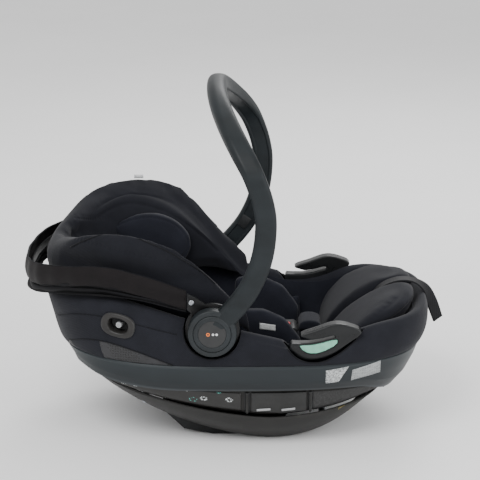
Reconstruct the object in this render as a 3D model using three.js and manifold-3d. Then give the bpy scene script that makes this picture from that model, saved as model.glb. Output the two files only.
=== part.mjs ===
// Infant car seat: rocker shell, fabric cover, headrest, folding canopy, carry handle and harness.
// Millimetres. +X towards the child's feet, +Y towards the child's left, +Z up; the seat stands on Z = 0.
import * as THREE from 'three';
import { mergeVertices } from 'three/addons/utils/BufferGeometryUtils.js';
import Module from 'manifold-3d';

const wasm = await Module();
wasm.setup();

// ---------------------------------------------------------------- driving dimensions
const HEAD_X = -312; // head end of the cover
const FOOT_X = 323; // foot end of the cover
const HALF_WIDTH = 208; // over the bumper rails
const RAIL_TOP = 151; // height of the rails' upper edge amidships
const RAIL_BOTTOM = 105; // height of the rails' lower edge amidships
const SHELL_WALL = 5;
const COVER_WALL = 5;
const LINER_WALL = 12;
const SKIRT_WALL = 5;
const GAP = 0.4; // between pieces that touch
const RUNNING = 0.5; // between pieces that move on each other

const HUB_X = -34; // handle and canopy axis
const HUB_Z = 209;
const HUB_R = 38.5;
const AXLE_R = 6;
const HOUSING_R = 30;
const GEAR_R = 13;
const CAP_R = 30;
const ARM_THICK = 22; // handle arm, across the seat
const ARM_WIDTH = 34; // handle arm, seen from the side
const GRIP_Z = 561; // centre of the grip
const GRIP_THICK = 30;
const BUTTON_X = 17; // handle release button
const BUTTON_Z = 275;
const BUTTON_SIZE = 22;
const BUTTON_TRAVEL = 4;

const CANOPY_X = -100; // middle of the canopy's plan curve
const CANOPY_REACH = CANOPY_X - HEAD_X + 33; // from there to its head end, past the cover
const CANOPY_HALF = HALF_WIDTH - 13; // half width over the canopy band
const BAND_THICK = 8;
const BOW_THICK = 3.6;

const HEADREST_WALL = 34;
const BEZEL_X = HEAD_X + 128; // side impact socket
const BEZEL_Z = 213;
const BEZEL_LONG = 56;
const BEZEL_TALL = 38;
const STUD_R = 5;

const BAR_R = 6; // latch bars under the seat
const REAR_BAR_X = HEAD_X + 167;
const FRONT_BAR_X = FOOT_X - 178;
const LEVER_X = 243; // release lever pivot
const LEVER_Z = 66;
const STRAP_WIDTH = 38;
const STRAP_THICK = 2.4;
const STRAP_Y = 50;
const SLIT_HALF = 14; // half gap between the leg cushions

// Planes across the seat, as distances from the middle.
const ARM_IN = HALF_WIDTH - 11; // inner face of the handle arm
const ARM_OUT = ARM_IN + ARM_THICK;
const HOUSING_OUT = ARM_IN - 1;
const CANOPY_RING_OUT = ARM_IN - 3;
const CANOPY_RING_IN = CANOPY_RING_OUT - 5.5;
const RECESS_Y = CANOPY_RING_IN - 1; // floor of the recess round the hub

const RING = 36; // points round a plan loop
const BEYOND = 120; // how far a cutter runs past what it cuts

// ---------------------------------------------------------------- materials
const finish = (color, roughness, metalness = 0) =>
  new THREE.MeshStandardMaterial({ color, roughness, metalness });
const COVER_FABRIC = finish('#2f3038', 0.95);
const LINER_FABRIC = finish('#26282f', 0.95);
const CANOPY_FABRIC = finish('#252427', 0.9);
const MESH_FABRIC = finish('#1c1c1d', 0.8);
const WEBBING = finish('#2c2c30', 0.8);
const RAIL_PLASTIC = finish('#394044', 0.5);
const SHELL_PLASTIC = finish('#343433', 0.6);
const DARK_PLASTIC = finish('#1d1d1e', 0.6);
const HANDLE_PLASTIC = finish('#353a3d', 0.5);
const GREEN_PLASTIC = finish('#7cb0a0', 0.5);
const RED_PLASTIC = finish('#b3262c', 0.45);
const GREY_PLASTIC = finish('#9b9c9c', 0.5);
const STEEL = finish('#8d9092', 0.35, 1);

// ---------------------------------------------------------------- solids from three.js shapes
function bare(geometry, tolerance = 1e-3) {
  const copy = geometry.clone();
  copy.deleteAttribute('normal');
  copy.deleteAttribute('uv');
  const merged = mergeVertices(copy, tolerance);
  const index = [...merged.index.array];
  const kept = [];
  for (let i = 0; i < index.length; i += 3) {
    const [a, b, c] = index.slice(i, i + 3);
    if (a !== b && b !== c && c !== a) kept.push(a, b, c);
  }
  return merged.setIndex(kept);
}

function toSolid(geometry) {
  const merged = bare(geometry);
  const vertProperties = new Float32Array(merged.attributes.position.array);
  const triVerts = new Uint32Array(merged.index.array);
  return new wasm.Manifold(new wasm.Mesh({ numProp: 3, vertProperties, triVerts }));
}

function toGeometry(solid) {
  const { vertProperties, triVerts } = solid.getMesh();
  const geometry = new THREE.BufferGeometry();
  geometry.setAttribute('position', new THREE.BufferAttribute(new Float32Array(vertProperties), 3));
  geometry.setIndex(new THREE.BufferAttribute(new Uint32Array(triVerts), 1));
  return geometry;
}

const combine = (how, first, others) =>
  toGeometry(others.reduce((sum, next) => sum[how](toSolid(next)), toSolid(first)));
const join = (first, ...others) => combine('add', first, others);
const cut = (first, ...others) => combine('subtract', first, others);
const common = (first, ...others) => combine('intersect', first, others);

// The same piece on the other side of the seat.
function mirrored(geometry) {
  const copy = bare(geometry).scale(1, -1, 1);
  const index = copy.index.array;
  for (let i = 0; i < index.length; i += 3) {
    [index[i + 1], index[i + 2]] = [index[i + 2], index[i + 1]];
  }
  return copy;
}

function box(x0, x1, y0, y1, z0, z1) {
  return new THREE.BoxGeometry(x1 - x0, y1 - y0, z1 - z0)
    .translate((x0 + x1) / 2, (y0 + y1) / 2, (z0 + z1) / 2);
}

// A round bar across the seat.
function bar(x, z, radius, y0, y1, sides = 28) {
  return new THREE.CylinderGeometry(radius, radius, y1 - y0, sides)
    .translate(x, (y0 + y1) / 2, z);
}

// A side-view outline, given as [x, z] points or a Shape, run across the seat from y0 to y1.
function slab(outline, y0, y1, curveSegments = 8) {
  const shape = outline instanceof THREE.Shape
    ? outline
    : new THREE.Shape(outline.map(([x, z]) => new THREE.Vector2(x, z)));
  return new THREE.ExtrudeGeometry(shape, { depth: y1 - y0, bevelEnabled: false, curveSegments })
    .rotateX(Math.PI / 2)
    .translate(0, y1, 0);
}

// A closed smooth outline through a few points.
function smoothOutline(points, count = 24) {
  const curve = new THREE.CatmullRomCurve3(
    points.map(([x, z]) => new THREE.Vector3(x, z, 0)), true, 'centripetal');
  return curve.getSpacedPoints(count).slice(0, -1).map((p) => [p.x, p.y]);
}

// An outline moved outwards by a distance.
function grown(outline, by) {
  const area = outline.reduce((sum, [x, z], i) => {
    const [nx, nz] = outline[(i + 1) % outline.length];
    return sum + x * nz - nx * z;
  }, 0);
  return outline.map(([x, z], i) => {
    const [px, pz] = outline.at(i - 1);
    const [nx, nz] = outline[(i + 1) % outline.length];
    const before = new THREE.Vector2(z - pz, px - x).normalize();
    const after = new THREE.Vector2(nz - z, x - nx).normalize();
    const out = before.clone().add(after).normalize();
    const step = (by * Math.sign(area)) / Math.max(out.dot(before), 0.5);
    return [x + out.x * step, z + out.y * step];
  });
}

// A rounded oval outline, long along X, tilted by an angle in degrees.
function oval(x, z, long, tall, tilt = 0, count = 28) {
  const turn = THREE.MathUtils.degToRad(tilt);
  return Array.from({ length: count }, (_, i) => {
    const [c, s] = superCircle((2 * Math.PI * i) / count, 2.6);
    const [dx, dz] = [(c * long) / 2, (s * tall) / 2];
    return [x + dx * Math.cos(turn) - dz * Math.sin(turn), z + dx * Math.sin(turn) + dz * Math.cos(turn)];
  });
}

function superCircle(angle, power) {
  const [c, s] = [Math.cos(angle), Math.sin(angle)];
  return [Math.sign(c) * Math.abs(c) ** (2 / power), Math.sign(s) * Math.abs(s) ** (2 / power)];
}

// A closed solid through a stack of loops with equal even point counts, each anticlockwise about the
// way up. The caps are ladders across the loop, and the walls' diagonals mirror from side to side.
function loft(loops) {
  const count = loops[0].length;
  const last = (loops.length - 1) * count;
  const index = [];
  for (let i = 0; i < count; i++) {
    const next = (i + 1) % count;
    for (let row = 0; row < last; row += count) {
      const [a, b, c, d] = [row + i, row + next, row + count + next, row + count + i];
      index.push(...(i < count / 2 ? [a, b, c, a, c, d] : [a, b, d, b, c, d]));
    }
  }
  for (let i = 0; i < count / 2; i++) {
    const [a, b, c, d] = [i, i + 1, count - i - 1, (count - i) % count];
    if (b !== c) index.push(a, c, b, last + a, last + b, last + c);
    if (a !== d) index.push(a, d, c, last + a, last + c, last + d);
  }
  const geometry = new THREE.BufferGeometry().setFromPoints(loops.flat());
  geometry.setIndex(index);
  return geometry;
}

// A height that runs straight between the points given as [x, z].
const heights = (points) => (x) => {
  const after = points.findIndex(([px]) => px >= x);
  if (after === 0) return points[0][1];
  if (after < 0) return points.at(-1)[1];
  const [[x0, z0], [x1, z1]] = [points[after - 1], points[after]];
  return z0 + ((z1 - z0) * (x - x0)) / (x1 - x0);
};

// A plan loop: a squared ellipse from head to foot, blunter at the foot end.
const HEAD_POWER = 2.9;
const FOOT_POWER = 3.1;
function planLoop({ head, foot, half, z, headPower = HEAD_POWER, footPower = FOOT_POWER }) {
  const middle = (head + foot) / 2;
  return Array.from({ length: RING }, (_, i) => {
    const angle = (2 * Math.PI * i) / RING;
    const [c, s] = superCircle(angle, Math.cos(angle) < 0 ? headPower : footPower);
    const x = middle + (c * (foot - head)) / 2;
    return new THREE.Vector3(x, half * s, z(x));
  });
}

// The solid inside a set of plan loops, moved inwards by inset; 'over' carries it on above the last loop.
function body(levels, inset = 0, over = 0) {
  const loops = levels.map((level) => planLoop({
    ...level,
    head: level.head + inset,
    foot: level.foot - inset,
    half: level.half - inset,
    z: (x) => level.z(x) + (level.rise ?? 0) * inset,
  }));
  if (over) {
    const top = loops.at(-1).map((p) => new THREE.Vector3(p.x, p.y, p.z + over));
    loops.push(top);
  }
  return loft(loops);
}

// ---------------------------------------------------------------- the seat's levels
const LOW_X = 60; // lowest point of the rocker
const grooveZ = (x) => (x < LOW_X
  ? RAIL_BOTTOM - 51 + 60 * ((LOW_X - x) / (LOW_X - HEAD_X - 98)) ** 1.6
  : RAIL_BOTTOM - 51 + 28 * ((x - LOW_X) / (FOOT_X - LOW_X - 73)) ** 1.7);
const skidZ = (x) => (x < LOW_X
  ? 1 + 62 * ((LOW_X - x) / (LOW_X - HEAD_X - 152)) ** 1.64
  : 1 + 54 * ((x - LOW_X) / (FOOT_X - LOW_X - 108)) ** 2.1);
const railBottomZ = heights([
  [HEAD_X + 36, RAIL_BOTTOM + 36], [HEAD_X + 60, RAIL_BOTTOM + 27], [HEAD_X + 96, RAIL_BOTTOM + 14],
  [HEAD_X + 132, RAIL_BOTTOM + 7], [HEAD_X + 192, RAIL_BOTTOM + 1], [-60, RAIL_BOTTOM], [118, RAIL_BOTTOM],
  [205, RAIL_BOTTOM - 4], [245, RAIL_BOTTOM - 18], [FOOT_X - 58, RAIL_BOTTOM - 22],
]);
const railTopZ = heights([
  [HEAD_X + 24, RAIL_TOP + 9], [HEAD_X + 112, RAIL_TOP + 2], [HEAD_X + 212, RAIL_TOP - 1], [100, RAIL_TOP - 1],
  [200, RAIL_TOP], [FOOT_X - 12, RAIL_TOP + 3],
]);
const rimPoints = [
  [HEAD_X, 237], [HEAD_X + 62, 250], [HEAD_X + 116, 255], [HEAD_X + 172, 243], [-77, 224], [0, 208], [68, 197],
  [100, 188], [150, 186], [206, 203], [240, 209], [FOOT_X, 212],
];
const rimZ = heights(rimPoints);
const SEAT_X = 80; // lowest point of the seat
const seatZ = (x) => (x < SEAT_X
  ? 76 + 156 * ((SEAT_X - x) / (SEAT_X - HEAD_X - 22)) ** 1.6
  : 76 + 110 * ((x - SEAT_X) / (FOOT_X - SEAT_X - 33)) ** 1.6);
const blend = (low, high, share) => (x) => low(x) + (high(x) - low(x)) * share;

const hull = [
  { head: HEAD_X + 220, foot: FOOT_X - 230, half: 60, z: grooveZ, rise: 1 },
  { head: HEAD_X + 130, foot: FOOT_X - 140, half: HALF_WIDTH - 95, z: grooveZ, rise: 1 },
  { head: HEAD_X + 80, foot: FOOT_X - 98, half: HALF_WIDTH - 50, z: grooveZ, rise: 1 },
  { head: HEAD_X + 48, foot: FOOT_X - 73, half: HALF_WIDTH - 26, z: blend(grooveZ, railBottomZ, 0.2), rise: 0.3 },
  { head: HEAD_X + 38, foot: FOOT_X - 61, half: HALF_WIDTH - 19, z: railBottomZ },
  { head: HEAD_X + 28, foot: FOOT_X - 19, half: HALF_WIDTH - 9, z: railTopZ },
  { head: HEAD_X + 14, foot: FOOT_X - 8, half: HALF_WIDTH - 10, z: blend(railTopZ, rimZ, 0.5) },
  { head: HEAD_X + 7, foot: FOOT_X - 9, half: HALF_WIDTH - 20, z: (x) => rimZ(x) - COVER_WALL - GAP, rise: -1 },
];
const cover = [
  { head: HEAD_X + 24, foot: FOOT_X - 11, half: HALF_WIDTH - 3, z: (x) => railTopZ(x) + GAP },
  { head: HEAD_X + 10, foot: FOOT_X, half: HALF_WIDTH - 3.6, z: blend(railTopZ, rimZ, 0.5) },
  { head: HEAD_X + 1, foot: FOOT_X - 2, half: HALF_WIDTH - 12, z: (x) => rimZ(x) - 6 },
  { head: HEAD_X + 7, foot: FOOT_X - 8, half: HALF_WIDTH - 20, z: rimZ },
];
const rail = [
  { head: HEAD_X + 33, foot: FOOT_X - 56, half: HALF_WIDTH - 14, z: railBottomZ },
  { head: HEAD_X + 30, foot: FOOT_X - 34, half: HALF_WIDTH - 4, z: blend(railBottomZ, railTopZ, 0.36) },
  { head: HEAD_X + 25, foot: FOOT_X - 14, half: HALF_WIDTH - 0.8, z: (x) => railTopZ(x) - 2.5 },
  { head: HEAD_X + 27, foot: FOOT_X - 15.5, half: HALF_WIDTH - 3, z: railTopZ },
];
const LIP = LINER_WALL + SHELL_WALL + GAP; // from the shell's rim in to the child's side
const seat = [
  { head: HEAD_X + 180, foot: FOOT_X - 190, half: 45, z: seatZ, rise: 1 },
  { head: HEAD_X + 115, foot: FOOT_X - 125, half: HALF_WIDTH - 118, z: seatZ, rise: 1 },
  { head: HEAD_X + 76, foot: FOOT_X - 82, half: HALF_WIDTH - 88, z: (x) => seatZ(x) + 3, rise: 1 },
  { head: HEAD_X + 50, foot: FOOT_X - 56, half: HALF_WIDTH - 62, z: (x) => seatZ(x) + 16, rise: 0.5 },
  { head: HEAD_X + 36, foot: FOOT_X - 38, half: HALF_WIDTH - 45, z: blend(seatZ, rimZ, 0.45), rise: 0.8 },
  { head: HEAD_X + 7 + LIP, foot: FOOT_X - 9 - LIP, half: HALF_WIDTH - 20 - LIP, z: (x) => rimZ(x) - 8 },
  { head: HEAD_X + 6 + LIP, foot: FOOT_X - 8 - LIP, half: HALF_WIDTH - 20 - LIP, z: (x) => rimZ(x) + GAP },
];
const skirt = [
  { head: HEAD_X + 72, foot: FOOT_X - 83, half: HALF_WIDTH - 77, z: skidZ },
  { head: HEAD_X + 58, foot: FOOT_X - 76, half: HALF_WIDTH - 42, z: blend(skidZ, grooveZ, 0.5) },
  { head: HEAD_X + 47, foot: FOOT_X - 72, half: HALF_WIDTH - 24.5, z: (x) => grooveZ(x) + 1 },
];

// ---------------------------------------------------------------- model assembly
const group = new THREE.Group();
const MERGE = 0.01; // points closer than this are one

function add(name, geometry, material) {
  const shown = bare(geometry, MERGE).toNonIndexed();
  shown.computeVertexNormals();
  const mesh = new THREE.Mesh(mergeVertices(shown), material.clone());
  mesh.name = name;
  group.add(mesh);
}

// A piece made on the near side (-Y, the child's right), and its twin.
function addPair(name, geometry, material) {
  add(`${name}_right`, geometry, material);
  add(`${name}_left`, mirrored(geometry), material);
}

const bothSides = (geometry) => [geometry, mirrored(geometry)];
const nearHalf = () => box(HEAD_X - BEYOND, FOOT_X + BEYOND, -HALF_WIDTH - BEYOND, -GAP / 2, -BEYOND, 700);

// ---------------------------------------------------------------- shared cutters
const hullSolid = body(hull);
const hullWithGap = body(hull, -GAP);
const railWithGap = body(rail, -GAP);
const seatSpace = body(seat, 0, BEYOND);

// Room round the hub for the fixed housing and the canopy ring.
const hubRecess = bar(HUB_X, HUB_Z, HUB_R + 8, -HALF_WIDTH - 30, -RECESS_Y);
const housingIn = RECESS_Y - 6;
const housingHole = bar(HUB_X, HUB_Z, HOUSING_R + 2 * GAP, -HALF_WIDTH - 30, -housingIn + GAP);

// Belt guide, seen from the side: a horn over a slot that is open towards the head.
const GUIDE_X = 150; // middle of the guide
const GUIDE_Z = 190;
const GUIDE_IN = HALF_WIDTH - 33;
const GUIDE_OUT = HALF_WIDTH - 12;
const fromGuide = (points) => points.map(([x, z]) => [GUIDE_X + x, GUIDE_Z + z]);
const guideOutline = fromGuide([
  [-44, 9], [-20, 18], [8, 28], [20, 28.5], [32, 26], [54, 15], [30, -6], [10, -21], [-8, -29], [-26, -32],
  [-42, -30], [-56, -19], [-62, -12],
]);
const guideSlot = fromGuide([
  [-70, 4], [-58, -4], [-46, -4.5], [-29, -4.6], [-12, -1.6], [9, 4.2], [16, 8], [8, 9], [-10, 4], [-26, 1.5],
  [-42, 6.5], [-46, 9.5], [-70, 14],
]);
const insertOutline = fromGuide([
  [-45, -8], [-40, -15], [-27, -20.5], [-8, -17], [14, -4], [17, 1.5], [9, 2], [-12, -3.8], [-29, -6.8],
]);
const guideSide = smoothOutline(guideOutline, 36);
const insertSide = smoothOutline(insertOutline, 18);
const overGuide = fromGuide([[-76, 40], [-76, 4], [-60, -12], [0, -12], [40, 2], [55.5, 15], [56, 40]]);
const guideRecess = join(
  slab(grown(guideSide, GAP), -HALF_WIDTH - 20, -GUIDE_IN + GAP),
  slab(overGuide, -HALF_WIDTH - 20, -GUIDE_IN + GAP));

// Side impact socket, turned to lie along the cover; its planes are distances out from the cover's side.
const coverSide = (x) => {
  const { head, foot, half } = cover[1];
  const reach = (foot - head) / 2;
  return half * (1 - (1 - (x - head) / reach) ** HEAD_POWER) ** (1 / HEAD_POWER);
};
const BEZEL_TURN = Math.atan2(coverSide(BEZEL_X + BEZEL_LONG / 2) - coverSide(BEZEL_X - BEZEL_LONG / 2), BEZEL_LONG);
const alongCover = (geometry) => geometry.rotateZ(-BEZEL_TURN).translate(BEZEL_X, -coverSide(BEZEL_X), 0);
const bezelOutline = (grow) => oval(0, BEZEL_Z, BEZEL_LONG + 2 * grow, BEZEL_TALL + 2 * grow, -10);
const socketOutline = (grow) => oval(0, BEZEL_Z, 29 + 2 * grow, 20 + 2 * grow, -10);
const BEZEL_OUT = 3;
const BEZEL_IN = -6.5;
const STUD_PLATE_IN = -14;
const bezelRecess = alongCover(slab(bezelOutline(GAP), -BEZEL_OUT - 30, -BEZEL_IN + GAP));
const socketHole = alongCover(slab(socketOutline(GAP), -BEZEL_OUT - 30, -STUD_PLATE_IN + GAP));

const lowCut = bothSides(join(guideRecess, bezelRecess, socketHole, hubRecess, housingHole));

// ---------------------------------------------------------------- shell
const shell = cut(hullSolid, body(hull, SHELL_WALL, BEYOND), ...lowCut);
add('shell_tub', shell, SHELL_PLASTIC);

// The rails run from a point near the head, round the sides, and meet at the foot.
const railTip = slab(
  [[HEAD_X - 60, 40], [HEAD_X + 46, 40], [HEAD_X + 70, 110], [HEAD_X + 45, 142], [HEAD_X + 42, 190],
    [HEAD_X - 60, 190]],
  -HALF_WIDTH - 20, HALF_WIDTH + 20);
const railRight = cut(common(body(rail), nearHalf()), hullWithGap, railTip);
addPair('rail', railRight, RAIL_PLASTIC);

// Rocker skirts, with bored ends for the latch bars and a notch for the release lever.
const BAR_END = HALF_WIDTH - 72;
const barHeight = (x) => (x < LOW_X ? 68 : 44);
const barRoom = [REAR_BAR_X, FRONT_BAR_X].map((x) => bar(x, barHeight(x), BAR_R + GAP, -BAR_END - GAP, BAR_END + GAP));
const LEVER_HALF = 34;
const LEVER_PIN_R = 4;
const PIN_HALF = LEVER_HALF + 10;
const leverRoom = box(LEVER_X - 30, FOOT_X, -LEVER_HALF - 1.5, LEVER_HALF + 1.5, 20, LEVER_Z + 9);
const pinRoom = bar(LEVER_X, LEVER_Z, LEVER_PIN_R + RUNNING, -PIN_HALF - 1, PIN_HALF + 1, 24);
const skirtCore = body([{ ...skirt[0], z: (x) => skidZ(x) - 30 }, ...skirt], SKIRT_WALL, 30);
const skirtRight = cut(common(cut(body(skirt), skirtCore), nearHalf()), hullWithGap, leverRoom, pinRoom, ...barRoom);
addPair('skirt', skirtRight, SHELL_PLASTIC);

[['rear', REAR_BAR_X], ['front', FRONT_BAR_X]].forEach(([place, x]) => {
  add(`lock_bar_${place}`, bar(x, barHeight(x), BAR_R, -BAR_END, BAR_END, 20), STEEL);
});

// Plate under the shell, between the skirts, and the foot block that carries the seat on a floor.
const PLATE_THICK = 3;
const PLATE_HALF = HALF_WIDTH - 86;
const PLATE_HEAD = HEAD_X + 122;
const PLATE_FOOT = FOOT_X - 143;
const PLATE_STEPS = 16;
const plateX = Array.from(
  { length: PLATE_STEPS + 1 }, (_, i) => PLATE_HEAD + (i * (PLATE_FOOT - PLATE_HEAD)) / PLATE_STEPS);
const plateUnder = plateX.map((x) => [x, grooveZ(x) - GAP - 1 - PLATE_THICK]);
const plateOutline = [...plateUnder, ...plateUnder.toReversed().map(([x, z]) => [x, z + PLATE_THICK])];
add('base_plate', slab(plateOutline, -PLATE_HALF, PLATE_HALF), DARK_PLASTIC);

const BLOCK_HALF = HALF_WIDTH - 92;
const BLOCK_HEAD = -96;
const BLOCK_FOOT = 62;
const BLOCK_TOP = 90; // trimmed to the plate
const blockOutline = [
  [BLOCK_HEAD + 61, 0], [BLOCK_FOOT - 8, 0], [BLOCK_FOOT, 4], [BLOCK_FOOT + 30, 40], [BLOCK_FOOT + 30, BLOCK_TOP],
  [BLOCK_HEAD - 22, BLOCK_TOP], [BLOCK_HEAD - 20, 42], [BLOCK_HEAD, 23], [BLOCK_HEAD + 14, 9],
];
const plateRoom = slab([
  ...plateUnder.map(([x, z]) => [x, z - GAP]), [plateUnder.at(-1)[0], BLOCK_TOP + 30], [plateUnder[0][0], BLOCK_TOP + 30],
], -PLATE_HALF, PLATE_HALF);
const latchPocket = box(-70, 50, -45, 45, -5, 34);
const block = cut(slab(blockOutline, -BLOCK_HALF, BLOCK_HALF), latchPocket, plateRoom);
add('base_block', block, DARK_PLASTIC);

// Release lever for the car base, under the foot end.
const leverOutline = [
  [LEVER_X - 6, LEVER_Z - 4], [LEVER_X + 2, LEVER_Z - 14], [LEVER_X + 10, LEVER_Z - 14], [LEVER_X + 14, LEVER_Z - 6],
  [LEVER_X + 15, LEVER_Z + 4], [LEVER_X + 11, LEVER_Z + 7], [LEVER_X - 4, LEVER_Z + 7],
];
const lever = join(
  slab(leverOutline, -LEVER_HALF, LEVER_HALF),
  bar(LEVER_X, LEVER_Z, LEVER_PIN_R, -PIN_HALF, PIN_HALF, 16));
add('release_lever', lever, DARK_PLASTIC);

// Doors over the adapter pockets, on the shell's side below the rails.
const DOOR = { head: 28, foot: 117, bottom: 60, top: RAIL_BOTTOM - 5 };
const doorBox = box(DOOR.head, DOOR.foot, -HALF_WIDTH - 20, 0, DOOR.bottom, DOOR.top);
const door = cut(common(body(hull, -GAP - 3), doorBox), hullWithGap);
const skirtSolid = body(skirt, -GAP);
addPair('pocket_door', cut(door, skirtSolid, railWithGap), DARK_PLASTIC);

// ---------------------------------------------------------------- cover, mesh and liner
const meshOutline = smoothOutline([
  [HEAD_X + 46, 168], [HEAD_X + 75, 181], [HEAD_X + 100, 183], [HEAD_X + 130, 179], [HEAD_X + 170, 168],
  [HEAD_X + 215, 153], [HEAD_X + 150, 147], [HEAD_X + 90, 150], [HEAD_X + 56, 158],
], 22);
const meshPrism = (grow) => slab(grown(meshOutline, grow), -HALF_WIDTH - 20, -110);
const coverPiece = cut(
  body(cover), hullWithGap, seatSpace, railWithGap, ...lowCut, ...bothSides(meshPrism(GAP)));
add('outer_cover', coverPiece, COVER_FABRIC);
const meshPanel = cut(common(body(cover, 1.5), meshPrism(0)), hullWithGap, railWithGap);
addPair('mesh_panel', meshPanel, MESH_FABRIC);

const liner = cut(body(hull, SHELL_WALL + GAP), seatSpace, ...lowCut);
add('seat_liner', liner, LINER_FABRIC);

// ---------------------------------------------------------------- side fittings
const bezel = cut(
  slab(bezelOutline(0), -BEZEL_OUT, -BEZEL_IN), slab(socketOutline(0), -BEZEL_OUT - 5, -BEZEL_IN + 5));
addPair('impact_bezel', alongCover(bezel), SHELL_PLASTIC);
const stud = join(
  slab(socketOutline(-GAP), -STUD_PLATE_IN - 3.5, -STUD_PLATE_IN),
  bar(0, BEZEL_Z, STUD_R, -BEZEL_OUT + 3, -STUD_PLATE_IN - 1, 16));
addPair('impact_stud', alongCover(stud), DARK_PLASTIC);

const INSERT_DEEP = 3;
const guide = cut(
  slab(guideSide, -GUIDE_OUT, -GUIDE_IN),
  slab(guideSlot, -GUIDE_OUT - 5, -GUIDE_IN + 5),
  slab(grown(insertSide, GAP), -GUIDE_OUT - 5, -GUIDE_OUT + INSERT_DEEP + GAP));
addPair('belt_guide', guide, DARK_PLASTIC);
addPair('belt_guide_insert', slab(insertSide, -GUIDE_OUT - 1, -GUIDE_OUT + INSERT_DEEP), GREEN_PLASTIC);

// ---------------------------------------------------------------- handle and its locks
const GEAR_TEETH = 8;
const gearOutline = (grow) => Array.from({ length: GEAR_TEETH * 4 }, (_, i) => {
  const angle = (2 * Math.PI * i) / (GEAR_TEETH * 4);
  const radius = (i % 4 < 2 ? GEAR_R : GEAR_R - 2) + grow;
  return [HUB_X + radius * Math.cos(angle), HUB_Z + radius * Math.sin(angle)];
});
const GEAR_IN = HOUSING_OUT - 4; // the gear bridges the housing and the handle at rest
const GEAR_THICK = 11;

const housing = cut(
  bar(HUB_X, HUB_Z, HOUSING_R, -HOUSING_OUT, -housingIn, 36),
  bar(HUB_X, HUB_Z, GEAR_R + RUNNING, -HOUSING_OUT - 5, -GEAR_IN + RUNNING),
  bar(HUB_X, HUB_Z, AXLE_R + GAP, -HOUSING_OUT - 5, -housingIn + 10, 24));
addPair('hub_housing', housing, DARK_PLASTIC);
const axleOut = ARM_OUT - 8;
addPair('handle_axle', bar(HUB_X, HUB_Z, AXLE_R, -axleOut, -housingIn - 2, 24), STEEL);
const lockGear = cut(
  slab(gearOutline(0), -GEAR_IN - GEAR_THICK, -GEAR_IN),
  bar(HUB_X, HUB_Z, AXLE_R + RUNNING, -ARM_OUT, -GEAR_IN + 5, 24));
addPair('lock_gear', lockGear, GREY_PLASTIC);

// The handle's centre line, from inside the near hub to the middle of the grip.
const armHeight = GRIP_Z - HUB_Z;
const armMiddle = ARM_IN + ARM_THICK / 2;
const handlePath = [
  [0.00, 1, 0.02], [0.06, 1, 0.07], [0.137, 1, 0.16], [0.184, 1, 0.24], [0.215, 1, 0.32], [0.234, 1, 0.41],
  [0.240, 1, 0.51], [0.230, 1, 0.585], [0.209, 0.995, 0.659], [0.175, 0.965, 0.741], [0.129, 0.87, 0.818],
  [0.083, 0.70, 0.887], [0.042, 0.47, 0.952], [0.022, 0.24, 0.99], [0.017, 0, 1],
].map(([x, y, z]) => new THREE.Vector3(HUB_X + x * armHeight, -y * armMiddle, HUB_Z + z * armHeight));
const farPath = handlePath.slice(0, -1).reverse().map((p) => new THREE.Vector3(p.x, -p.y, p.z));
const handleCurve = new THREE.CatmullRomCurve3([...handlePath, ...farPath], false, 'centripetal');

const HANDLE_STEPS = 40;
function handleLoop(share) {
  const middle = handleCurve.getPointAt(share);
  const along = handleCurve.getTangentAt(share);
  const wide = new THREE.Vector3(1, 0, 0).addScaledVector(along, -along.x).normalize();
  const deep = new THREE.Vector3().crossVectors(along, wide);
  const grip = THREE.MathUtils.smoothstep(1 - Math.abs(middle.y) / armMiddle, 0.1, 0.75);
  const width = THREE.MathUtils.lerp(ARM_WIDTH, ARM_WIDTH - 2, grip);
  const thick = THREE.MathUtils.lerp(ARM_THICK, GRIP_THICK, grip);
  return Array.from({ length: 12 }, (_, i) => {
    const [c, s] = superCircle((2 * Math.PI * i) / 12, THREE.MathUtils.lerp(4, 2.6, grip));
    return middle.clone()
      .addScaledVector(wide, (c * width) / 2)
      .addScaledVector(deep, (s * thick) / 2);
  });
}
const arch = loft(Array.from({ length: HANDLE_STEPS + 1 }, (_, i) => handleLoop(i / HANDLE_STEPS)));
const hubDisc = bar(HUB_X, HUB_Z, HUB_R, -ARM_OUT + 1, -ARM_IN, 36);
const CAP_IN = ARM_OUT - 6;
const gearPocketEnd = GEAR_IN + GEAR_THICK + BUTTON_TRAVEL + RUNNING;
const buttonTurn = -0.62; // the arm leans towards the feet here
const buttonBox = (grow, y0, y1) => new THREE.BoxGeometry(BUTTON_SIZE - 4 + 2 * grow, y1 - y0, BUTTON_SIZE + 2 * grow)
  .rotateY(-buttonTurn)
  .translate(BUTTON_X, (y0 + y1) / 2, BUTTON_Z);
const BUTTON_IN = ARM_IN + 1;
const BUTTON_THICK = 8;
const buttonRoomEnd = BUTTON_IN + BUTTON_THICK + BUTTON_TRAVEL + RUNNING;
const armCuts = join(
  slab(gearOutline(RUNNING), -gearPocketEnd, -ARM_IN + 5),
  bar(HUB_X, HUB_Z, AXLE_R + RUNNING, -axleOut - RUNNING, -ARM_IN + 5, 24),
  bar(HUB_X, HUB_Z, CAP_R + GAP, -ARM_OUT - 10, -CAP_IN + GAP, 28),
  buttonBox(RUNNING, -buttonRoomEnd, -ARM_IN + 5));
const innerTrim = box(HUB_X - 60, HUB_X + 60, -ARM_IN, 0, HUB_Z - 60, HUB_Z + 60);
const BADGE_Z = GRIP_Z;
const badgeBox = (grow) => box(-58 - grow, -44, -17 - grow, 17 + grow, BADGE_Z - 9 - grow, BADGE_Z + 9 + grow);
const handle = cut(join(arch, ...bothSides(hubDisc)), ...bothSides(armCuts), ...bothSides(innerTrim), badgeBox(GAP));
add('handle_arch', handle, HANDLE_PLASTIC);
addPair('hub_cap', cut(
  bar(HUB_X, HUB_Z, CAP_R, -ARM_OUT - 1, -CAP_IN, 28),
  bar(HUB_X, HUB_Z, CAP_R - 8, -ARM_OUT - 5, -ARM_OUT, 28)), HANDLE_PLASTIC);
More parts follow.
